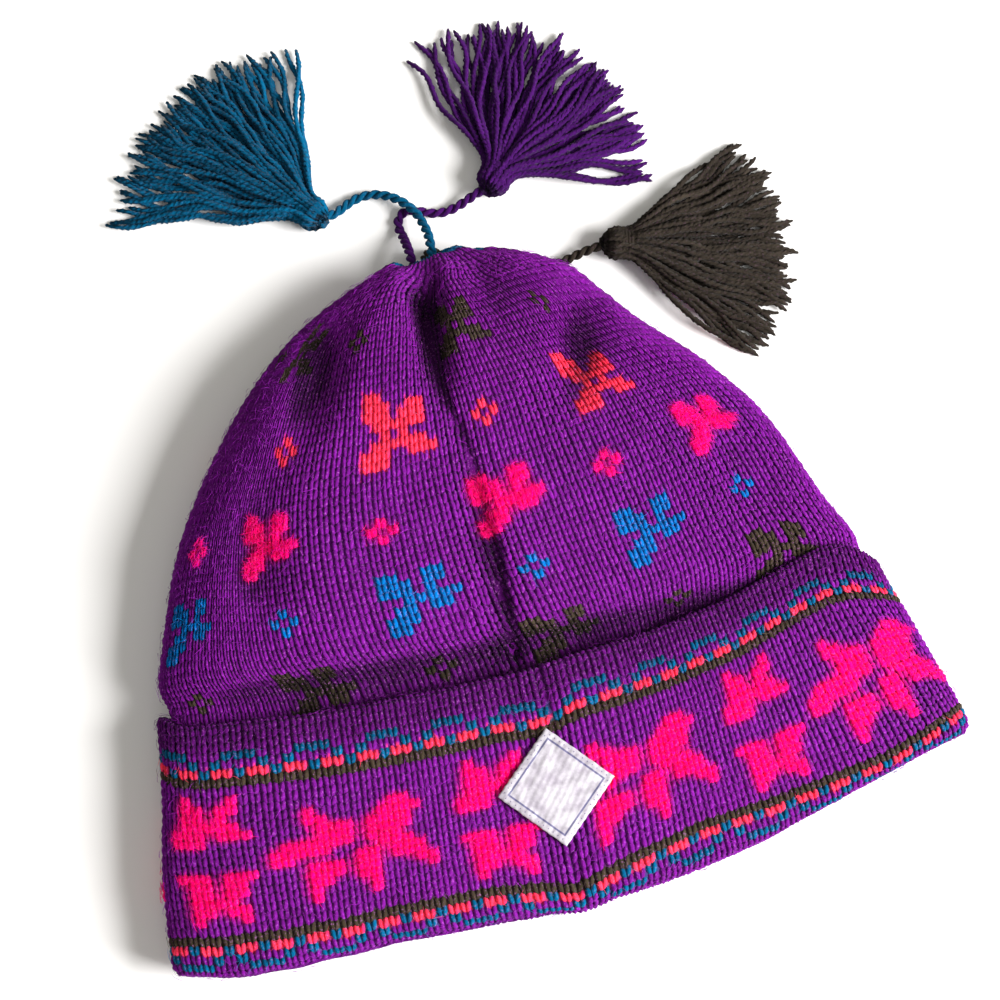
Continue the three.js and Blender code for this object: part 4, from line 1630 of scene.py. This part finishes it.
@dataclass
class Cord:
    """A short limp cord, twisted from two plies."""

    name: str
    node: str
    slot: str
    yarn: np.ndarray
    route: tuple[tuple[float, float, float], ...]
    diameter: float = 3.3
    lay_length: float = 7.0
    sides: int = 8

    def centre_line(self, step: float = 0.55) -> np.ndarray:
        """A smooth line through the route's points, with even steps.

        It is the centripetal curve through the points: knots are spaced by the square root of
        the distance between points, and each span blends the lines through its neighbours.

        Args:
            step: distance between the line's points.

        Returns:
            The line's points.
        """
        p = np.array(self.route, float)
        p = np.concatenate([[2 * p[0] - p[1]], p, [2 * p[-1] - p[-2]]])
        t = np.concatenate([[0.0], np.cumsum(np.sqrt(np.linalg.norm(np.diff(p, axis=0), axis=1)))])
        dense = []
        for i in range(1, len(p) - 2):
            s = np.linspace(t[i], t[i + 1], 40, endpoint=False)[:, None]

            def mix(a: np.ndarray, b: np.ndarray, ta: float, tb: float) -> np.ndarray:
                """The line from a to b, timed from ta to tb."""
                return a * (tb - s) / (tb - ta) + b * (s - ta) / (tb - ta)

            a1 = mix(p[i - 1], p[i], t[i - 1], t[i])
            a2 = mix(p[i], p[i + 1], t[i], t[i + 1])
            a3 = mix(p[i + 1], p[i + 2], t[i + 1], t[i + 2])
            b1 = mix(a1, a2, t[i - 1], t[i + 1])
            b2 = mix(a2, a3, t[i], t[i + 2])
            dense.append(mix(b1, b2, t[i], t[i + 1]))
        dense = np.concatenate(dense + [p[-2][None]])
        length = np.concatenate([[0.0], np.cumsum(np.linalg.norm(np.diff(dense, axis=0), axis=1))])
        even = np.linspace(0.0, length[-1], max(8, int(length[-1] / step)))
        return np.stack([np.interp(even, length, dense[:, k]) for k in range(3)], -1)

    def length(self) -> float:
        """The centre line's length in millimetres."""
        return float(np.linalg.norm(np.diff(self.centre_line(), axis=0), axis=1).sum())

    def build(self, finish: bpy.types.Material, tassel: Sequence[bpy.types.Object]) -> bpy.types.Object:
        """Ply k lies at centre + (d/4) * (u*cos(q + k*pi) + w*sin(q + k*pi)), with q rising by a
        full turn in each lay length, and is d/4 thick either side.

        Args:
            finish: the yarn's material.
            tassel: the tassel's pieces; not used.

        Returns:
            The cord.
        """
        line = self.centre_line()
        ahead = unit(np.gradient(line, axis=0))
        u = unit(np.cross(ahead, [0.0, 0.0, 1.0]))
        w = np.cross(u, ahead)
        length = np.concatenate([[0.0], np.cumsum(np.linalg.norm(np.diff(line, axis=0), axis=1))])
        turn = length / self.lay_length * 2 * np.pi
        radius = self.diameter / 4
        plies = []
        for k in range(2):
            q = (turn + k * np.pi)[:, None]
            plies.append(line + radius * (u * np.cos(q) + w * np.sin(q)))
        paths = np.stack(plies)
        paths[..., 2] = np.maximum(paths[..., 2], radius * 1.05)
        wide = np.full(paths.shape[:2], radius * 1.06)
        skin = tubes(paths, wide, self.sides, np.repeat(self.yarn[None], 2, 0))
        piece = make_piece(self.name, skin, finish)
        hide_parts(self.node)
        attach(piece, "root")
        round(self.length() * MM, 4)
        return piece


@dataclass
class Tassel:
    """A yarn tassel: a bound head and a fan of separate strands laid on the surface."""

    name: str
    node: str
    slot: str
    yarn: np.ndarray
    head: tuple[float, float]
    fan: tuple[float, float]        # the fan's two edges in degrees from +X
    lengths: tuple[float, float, float]
    strands: int = 112
    thickness: float = 1.2
    flat: float = 0.66
    lay_length: float = 4.6
    curl: float = 2.6
    steps: int = 40
    head_height: float = 5.5
    neck: float = 4.2
    head_length: float = 4.5
    # how far the bundle spreads, in necks, at distances from its start
    bulb: tuple[tuple[float, float], ...] = (
        (0, 0.3), (2.5, 1.0), (5, 1.2), (8, 1.0), (11, 1.0), (16, 1.4), (26, 1.9), (40, 1.7),
    )
    # how thick a strand is, as a share of the thickness, at shares of its length
    taper: tuple[tuple[float, float], ...] = ((0, 0.7), (0.06, 1), (0.9, 1), (0.97, 0.9), (1.0, 0.55))
    loft: float = 8.6
    binding_turns: float = 4.5
    binding_thickness: float = 0.8

    def aim(self) -> float:
        """The middle of the fan, in radians from +X."""
        return math.radians((self.fan[0] + self.fan[1]) / 2)

    def paths(self, rng: np.random.Generator) -> tuple[np.ndarray, np.ndarray]:
        """Centre lines of the strands and their half widths.

        A strand starts in the head at its own place across the bundle, turns to its own angle in
        the fan over the first part of its length, curls a little from side to side, rises over
        the strands below it and comes down to the surface at its tip.

        Args:
            rng: the run's random numbers.

        Returns:
            The lines and the half widths.
        """
        n, k = self.strands, self.steps
        ring = np.sqrt((np.arange(n) + 0.5) / n)
        spin = np.arange(n) * 2.399963 + rng.normal(0, 0.2, n)
        lateral, upper = ring * np.cos(spin), ring * np.sin(spin)
        aim = self.aim()
        half = math.radians(abs(self.fan[0] - self.fan[1]) / 2)
        share = np.clip((lateral + 1) / 2 + rng.normal(0, 0.05, n), 0, 1)
        sweep = -1.0 if self.fan[0] > self.fan[1] else 1.0
        bend = sweep * half * (2 * share - 1)
        length = np.interp(share, [0, 0.5, 1], self.lengths) * (1 + rng.normal(0, 0.035, n))
        d = np.linspace(0, 1, k)[None] * length[:, None]
        along = d / length[:, None]
        settle = smoothstep(1.0, 20.0, d)
        phase = rng.random((n, 2)) * 2 * np.pi
        waves = 1.1 + rng.random((n, 1)) * 1.1
        wave = np.sin(2 * np.pi * waves * along + phase[:, :1])
        sway = self.curl * 0.12 * wave * smoothstep(0.1, 0.9, along)
        angle = aim + bend[:, None] * settle + sway + rng.normal(0, 0.05, (n, 1)) * along
        step = length / (k - 1)
        start_x = self.head[0] - self.head_length * math.cos(aim)
        start_y = self.head[1] - self.head_length * math.sin(aim)
        x = start_x + np.cumsum(np.cos(angle), 1) * step[:, None]
        y = start_y + np.cumsum(np.sin(angle), 1) * step[:, None]
        bulb = np.interp(d, *np.array(self.bulb).T)
        spread = self.neck * bulb
        high = self.neck * np.minimum(bulb, 1.2)
        x = x - math.sin(aim) * lateral[:, None] * spread * sweep
        y = y + math.cos(aim) * lateral[:, None] * spread * sweep
        low = self.thickness * 0.8
        crest = self.head_height + upper[:, None] * high
        body = low + (0.5 + 0.5 * upper[:, None]) * self.loft * (1 - 0.35 * along)
        z = crest + (body - crest) * smoothstep(6.0, 26.0, d)
        fall = smoothstep(0.45, 1.02, along) * (0.93 - 0.2 * rng.random((n, 1)))
        z = low + (z - low) * (1 - fall)
        z = np.maximum(z + 0.5 * np.sin(2 * np.pi * waves * along * 1.3 + phase[:, 1:]), low)
        return np.stack([x, y, z], -1), self.thickness * np.interp(along, *np.array(self.taper).T)

    def binding(self) -> tuple[np.ndarray, np.ndarray]:
        """The yarn wound round the neck: a tight coil square to the tassel's aim.

        Returns:
            The coil's line and its half widths.
        """
        aim = self.aim()
        turns = np.linspace(0, self.binding_turns * 2 * np.pi, 130)
        out = 3.0 + turns / (2 * np.pi) * 1.0
        radius = self.neck * 0.94
        x = self.head[0] + out * math.cos(aim) - radius * np.cos(turns) * math.sin(aim)
        y = self.head[1] + out * math.sin(aim) + radius * np.cos(turns) * math.cos(aim)
        z = np.maximum(self.head_height + radius * np.sin(turns) * 0.95, self.binding_thickness)
        return np.stack([x, y, z], -1)[None], np.full((1, len(turns)), self.binding_thickness)

    def build(self, finish: bpy.types.Material, rng: np.random.Generator) -> list[bpy.types.Object]:
        """Makes the strands and the binding, and puts them in the tassel's place.

        Args:
            finish: the yarn's material.
            rng: the run's random numbers.

        Returns:
            The strands and the binding.
        """
        paths, wide = self.paths(rng)
        shade = self.yarn[None, None] * np.exp(rng.normal(0, 0.16, (self.strands, 1, 1)))
        shade = np.clip(np.repeat(shade, self.steps, 1), 0, 1)
        length = np.concatenate([
            np.zeros((self.strands, 1)), np.cumsum(np.linalg.norm(np.diff(paths, axis=1), axis=-1), 1)], 1)
        twist = length / self.lay_length * 2 * np.pi + rng.random((self.strands, 1)) * 6.28
        skin = tubes(paths, wide, 5, shade, self.flat, twist)
        skin.points[:, 2] = np.maximum(skin.points[:, 2], 0.05)
        coil, coil_wide = self.binding()
        bound = tubes(coil, coil_wide, 6, self.yarn[None])
        pieces = [
            make_piece(f"{self.name}_strands", skin, finish),
            make_piece(f"{self.name}_binding", bound, finish),
        ]
        for piece in pieces:
            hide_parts(self.node)
            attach(piece, "root")
        return pieces


@dataclass
class LabelPatch:
    """The small square of silvery cloth, sewn flat on the cuff as a diamond and left bare."""

    form: HatForm
    side: float = 25.0
    thickness: float = 0.5
    centre: tuple[float, float] = (-2.6, -73.6)
    turn: float = 40.5
    steps: int = 60
    lift: float = 1.3
    # the printed border line: its distance from the edge and its half width
    border: tuple[float, float] = (2.3, 0.28)
    # the needle holes: their distance from the edge, their half width and how tightly they follow
    holes: tuple[float, float, float] = (1.05, 0.17, 3.6)

    def ground(self, x: np.ndarray, y: np.ndarray) -> np.ndarray:
        """Height of the cuff's outer face above a place, found by halving the span of sections.

        Args:
            x: places across the hat.
            y: places up the hat.

        Returns:
            The heights.
        """
        out = self.form.seat + self.form.cuff_wall
        low, high = np.zeros_like(x), np.full_like(x, 3.0)
        for _ in range(24):
            v = (low + high) / 2
            y_here = self.form.point(v, self.form.front_angle(v, x, out), out)[..., 1]
            low, high = np.where(y_here < y, v, low), np.where(y_here < y, high, v)
        return self.form.point(low, self.form.front_angle(low, x, out), out)[..., 2]

    def covers(self, points: np.ndarray, margin: float = 0.5) -> np.ndarray:
        """Whether each point lies under the square: both turned offsets are within half a side.

        Args:
            points: places on the knit.
            margin: how far past the edge counts.

        Returns:
            True where a point is covered.
        """
        turn = math.radians(self.turn)
        x, y = points[..., 0] - self.centre[0], points[..., 1] - self.centre[1]
        a = x * math.cos(turn) + y * math.sin(turn)
        b = y * math.cos(turn) - x * math.sin(turn)
        inside = np.maximum(np.abs(a), np.abs(b)) < self.side / 2 + margin
        return inside & (points[..., 2] > FRONT_HEIGHT)

    def skin(self) -> Skin:
        """A square grid laid on the cuff, crinkled, with a rounded rim and a second face below.

        Returns:
            The cloth's skin.
        """
        n = self.steps + 1
        a, b = np.meshgrid(np.linspace(-0.5, 0.5, n), np.linspace(-0.5, 0.5, n), indexing="ij")
        edge = np.minimum(0.5 - np.abs(a), 0.5 - np.abs(b)) * self.side
        ragged = 0.16 * np.sin(a * 61 + 2 * np.sin(b * 23)) * (edge < 0.6)
        turn = math.radians(self.turn)
        x = self.centre[0] + (self.side + ragged) * (a * math.cos(turn) - b * math.sin(turn))
        y = self.centre[1] + (self.side + ragged) * (a * math.sin(turn) + b * math.cos(turn))
        crease = 0.22 * np.sin(a * 17 + 3.0 * np.sin(b * 5 + 1)) * np.sin(b * 13 + 2.0 * np.sin(a * 7))
        crease += 0.10 * np.sin(a * 41 + b * 29 + 2 * np.sin(a * 19))
        pinch = 0.25 * np.sin((a + b) * 75) * np.exp(-((edge - 1.0) / 0.7) ** 2)
        top = self.ground(x, y) + self.lift + crease * np.clip(edge / 2, 0.2, 1) + pinch * 0.5
        top -= 0.25 * np.exp(-((edge / 0.5) ** 2))
        upper = np.stack([x, y, top], -1).reshape(-1, 3)
        lower = upper - [0, 0, self.thickness]
        index = np.arange(n * n).reshape(n, n)
        face = np.stack([index[:-1, :-1], index[1:, :-1], index[1:, 1:], index[:-1, 1:]], -1)
        face = face.reshape(-1, 4)
        rim = np.concatenate([index[:-1, 0], index[-1, :-1], index[:0:-1, -1], index[0, :0:-1]])
        after = np.roll(rim, -1)
        walls = np.stack([rim, rim + n * n, after + n * n, after], -1)
        quads = np.concatenate([face, face[:, ::-1] + n * n, walls])
        uv = np.stack([a + 0.5, b + 0.5], -1).reshape(-1, 2)
        return Skin(np.concatenate([upper, lower]), quads, uv=np.concatenate([uv, uv]))

    def finish(self) -> bpy.types.Material:
        """Silvery woven cloth with a thin printed border line and needle holes near its edge.

        Returns:
            The material.
        """
        material = bpy.data.materials.new("patch cloth")
        material.use_nodes = True
        nodes = Nodes(material.node_tree)
        uv = nodes.add("ShaderNodeUVMap")
        place = nodes.add("ShaderNodeTexCoord")
        split = nodes.add("ShaderNodeSeparateXYZ")
        nodes.link(uv.outputs["UV"], split.inputs[0])

        def from_edge(axis: bpy.types.NodeSocket) -> bpy.types.NodeSocket:
            """Distance from the nearer of two opposite edges, in millimetres."""
            off = nodes.math("ABSOLUTE", nodes.math("SUBTRACT", axis, 0.5))
            return nodes.math("MULTIPLY", nodes.math("SUBTRACT", 0.5, off), self.side)

        edge_x, edge_y = from_edge(split.outputs["X"]), from_edge(split.outputs["Y"])
        edge = nodes.math("MINIMUM", edge_x, edge_y)

        def band(inset: float, half: float) -> bpy.types.NodeSocket:
            """1 within half a width of a line at that distance from the edge, else 0."""
            off = nodes.math("ABSOLUTE", nodes.math("SUBTRACT", edge, inset))
            return nodes.math("LESS_THAN", off, half)

        line = band(*self.border)
        further = nodes.math("MAXIMUM", edge_x, edge_y)
        beat = nodes.math("SINE", nodes.math("MULTIPLY", further, self.holes[2]))
        holes = nodes.math("MULTIPLY", nodes.math("GREATER_THAN", beat, 0.9), band(*self.holes[:2]))
        noise = nodes.add("ShaderNodeTexNoise", Scale=260.0, Detail=4.0, Roughness=0.65)
        nodes.link(place.outputs["Object"], noise.inputs["Vector"])
        # painted sheen: noise patches between a darker and a lighter grey, for the crinkled cloth's patchy
        # sheen
        painted_sheen_patches = nodes.add("ShaderNodeMapRange", From_Min=0.35, From_Max=0.65)
        nodes.link(noise.outputs["Fac"], painted_sheen_patches.inputs["Value"])
        cloth = nodes.mix(painted_sheen_patches.outputs["Result"], (0.34, 0.31, 0.37, 1), (0.53, 0.51, 0.56, 1))
        marked = nodes.mix(nodes.math("MULTIPLY", line, 0.85), cloth, (0.05, 0.05, 0.16, 1))
        pricked = nodes.mix(holes, marked, (0.07, 0.05, 0.16, 1))
        weave = nodes.add("ShaderNodeTexWave", Scale=160.0, Distortion=1.2, Detail=2.0)
        turned = nodes.add("ShaderNodeMapping")
        turned.inputs["Rotation"].default_value = (0, 0, math.radians(self.turn))
        nodes.link(place.outputs["Object"], turned.inputs["Vector"])
        nodes.link(turned.outputs[0], weave.inputs["Vector"])
        threads = nodes.math("MULTIPLY", weave.outputs["Fac"], 0.35)
        height = nodes.math("ADD", threads, noise.outputs["Fac"])
        bump = nodes.add("ShaderNodeBump", Strength=0.5, Distance=0.0004)
        nodes.link(height, bump.inputs["Height"])
        shader = nodes.add(
            "ShaderNodeBsdfPrincipled", Roughness=0.42, Specular_IOR_Level=0.6, Sheen_Weight=0.15)
        nodes.finish(shader, pricked, bump.outputs["Normal"])
        return material

    def build(self) -> bpy.types.Object:
        """Returns:
            The patch.
        """
        piece = make_piece("label_cloth", self.skin(), self.finish())
        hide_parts("label_patch")
        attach(piece, "root")
        return piece


@dataclass(frozen=True)
class Studio:
    """The pale floor, the soft window light and the camera at the photographed angle."""

    target: tuple[float, float, float] = (4.3, 20.0, 15.0)
    distance: float = 620.0
    elevation: float = 76.0
    lean: float = 14.5
    lens: float = 70.19
    sensor: float = 36.0
    floor_half: float = 3.0
    floor_grey: float = 0.90
    sky: tuple[float, float, float] = (1.0, 0.97, 0.87)
    sky_strength: float = 0.36

    def camera(self) -> None:
        """Places the camera on its line of sight: back = (-sin lean cos e, -cos lean cos e, sin e)."""
        e, lean = math.radians(self.elevation), math.radians(self.lean)
        back = Vector((-math.sin(lean) * math.cos(e), -math.cos(lean) * math.cos(e), math.sin(e)))
        right = Vector((math.cos(lean), -math.sin(lean), 0.0))
        up = back.cross(right)
        data = bpy.data.cameras.new("camera")
        data.lens, data.sensor_width, data.clip_start = self.lens, self.sensor, 0.01
        camera = bpy.data.objects.new("camera", data)
        place = (Vector(self.target) + Vector(FRAME_SHIFT) + back * self.distance) * MM
        camera.matrix_world = Matrix((
            (right.x, up.x, back.x, place.x), (right.y, up.y, back.y, place.y),
            (right.z, up.z, back.z, place.z), (0, 0, 0, 1),
        ))
        bpy.context.scene.collection.objects.link(camera)
        bpy.context.scene.camera = camera

    def light(self, name: str, place: Sequence[float], size: float, power: float,
              colour: Sequence[float]) -> None:
        """Adds a square area light, in metres, that points at the hat.

        Args:
            name: its name.
            place: where it stands.
            size: its side.
            power: its watts.
            colour: its colour.
        """
        data = bpy.data.lights.new(name, "AREA")
        data.size, data.energy, data.color = size, power, colour
        lamp = bpy.data.objects.new(name, data)
        lamp.location = Vector(place)
        ahead = Vector((0.0, 0.0, 0.02)) - lamp.location
        lamp.rotation_euler = ahead.to_track_quat("-Z", "Y").to_euler()
        bpy.context.scene.collection.objects.link(lamp)

    def floor(self) -> None:
        """Lays the plain pale floor."""
        mesh = bpy.data.meshes.new("floor")
        signs = ((-1, -1), (1, -1), (1, 1), (-1, 1))
        corners = [(x * self.floor_half, y * self.floor_half, 0) for x, y in signs]
        mesh.from_pydata(corners, [], [(0, 1, 2, 3)])
        floor = bpy.data.objects.new("floor", mesh)
        bpy.context.scene.collection.objects.link(floor)
        material = bpy.data.materials.new("pale floor")
        material.use_nodes = True
        shader = material.node_tree.nodes["Principled BSDF"]
        shader.inputs["Base Color"].default_value = (*[self.floor_grey] * 3, 1)
        shader.inputs["Roughness"].default_value = 0.7
        mesh.materials.append(material)

    def world(self) -> None:
        """An even pale sky."""
        world = bpy.data.worlds.new("room")
        world.use_nodes = True
        background = world.node_tree.nodes["Background"]
        background.inputs["Color"].default_value = (*self.sky, 1)
        background.inputs["Strength"].default_value = self.sky_strength
        bpy.context.scene.world = world
        bpy.context.scene.view_settings.view_transform = "Standard"

    def build(self) -> None:
        """Sets up the camera, the floor and the light."""
        self.camera()
        self.floor()
        self.world()
        self.light("window", (1.12, -0.60, 0.88), 0.8, 64.0, (1.0, 0.98, 0.97))
        self.light("room fill", (-0.3, -0.6, 1.6), 1.4, 3.0, (0.97, 0.98, 1.0))


@dataclass(frozen=True)
class Hanging:
    """One cord with its tassel.

    The head and the route's points are in millimetres, the fan's two edges in degrees from +X,
    and the lengths are those of the strands at its first edge, its middle and its second edge.
    """

    colour: str
    yarn: np.ndarray
    head: tuple[float, float]
    fan: tuple[float, float]
    lengths: tuple[float, float, float]
    route: tuple[tuple[float, float, float], ...]


HANGINGS = (
    Hanging(
        "teal", linear(0, 72, 104), head=(-29.6, 131.4), fan=(89, 164), lengths=(65.5, 69.5, 69.5),
        route=(
            (3.34, 104.7, 13.2), (3.74, 108.27, 12.37), (4.06, 111.79, 11.31), (4.21, 115.13, 9.76),
            (3.94, 118.48, 8.24), (3.32, 121.87, 6.91), (2.34, 125.27, 5.89), (0.63, 128.46, 5.22),
            (-1.58, 131.32, 4.51), (-4.13, 133.8, 3.55), (-7.11, 135.76, 2.63), (-10.48, 137.02, 1.89),
            (-14.15, 137.12, 1.8), (-17.69, 136.18, 1.98), (-20.87, 134.45, 2.68), (-23.8, 132.65, 4),
            (-27.2, 131.8, 5), (-31, 132.2, 5.2), (-34.6, 134.6, 5), (-37.4, 138.2, 4.8),
            (-40, 142.2, 4.6), (-42.5, 146.2, 4.4),
        ),
    ),
    Hanging(
        "purple", linear(56, 13, 80), head=(29.0, 128.6), fan=(108, -14), lengths=(60.5, 61.5, 53.5),
        route=(
            (-3.4, 104.4, 13), (-3.39, 107.76, 11.82), (-3.4, 111.01, 10.36), (-3.47, 113.85, 8.21),
            (-3.61, 116.55, 5.89), (-3.83, 119.34, 3.68), (-4.24, 122.5, 2.1), (-3.63, 125.96, 1.8),
            (-1.05, 128.18, 1.8), (2.41, 127.92, 1.8), (5.6, 126.33, 1.8), (8.95, 125.12, 1.8),
            (12.48, 124.79, 1.85), (15.99, 125.32, 2.13), (19.35, 126.14, 3), (22.6, 127.1, 4.1),
            (26, 128, 5), (29.6, 129.4, 5.2), (33.2, 132.2, 5), (36.8, 135.6, 4.8), (40.4, 139.2, 4.6),
        ),
    ),
    Hanging(
        "charcoal", linear(43, 38, 32), head=(62.6, 98.6), fan=(24, -54), lengths=(57.5, 62.5, 60.5),
        route=(
            (0.2, 103, 12), (0.6, 105.2, 10.2), (1.2, 107.6, 8), (2.6, 110.1, 5.4), (5.7, 110.79, 3.15),
            (9.38, 109.39, 2.09), (13.03, 107.55, 1.8), (16.63, 105.58, 1.8), (20.33, 103.79, 1.8),
            (24.1, 102.16, 1.8), (27.97, 100.77, 1.8), (31.88, 99.52, 1.8), (35.82, 98.36, 1.8),
            (39.85, 97.57, 1.8), (43.95, 97.32, 1.82), (48.01, 97.87, 2.07), (51.95, 98.4, 3.08),
            (55.85, 98.6, 4.35), (59.5, 98.7, 5), (63.6, 98.4, 5.2), (68, 97.4, 5), (72.5, 96.1, 4.8),
            (77, 94.8, 4.6),
        ),
    ),
)


def main() -> None:
    """Builds the scene: camera and cords first, then the crown, the cuff and the patch."""
    logging.basicConfig(level=logging.INFO, format="%(name)s: %(message)s")
    rng = np.random.default_rng(SEED)
    Studio().build()
    fibres = fibre_group()
    knit = YarnFinish("brushed knit yarn").build(fibres)
    plied = YarnFinish("plied yarn", variation=0.4, flecks=0.06, sheen=0.04, bump=0.5).build(fibres)
    for hanging in HANGINGS:
        colour, yarn = hanging.colour, hanging.yarn
        names = (f"{colour}_tassel", f"tassel_{colour}", f"yarn_{colour}")
        bundle = Tassel(*names, yarn, hanging.head, hanging.fan, hanging.lengths).build(plied, rng)
        Cord(f"{colour}_cord", f"cord_{colour}", names[2], yarn, hanging.route).build(plied, bundle)
    form = HatForm()
    label = LabelPatch(form)
    Crown(form).build(knit, rng)
    Cuff(form).build(knit, rng, label)
    label.build()


if __name__ == "__main__":
    main()
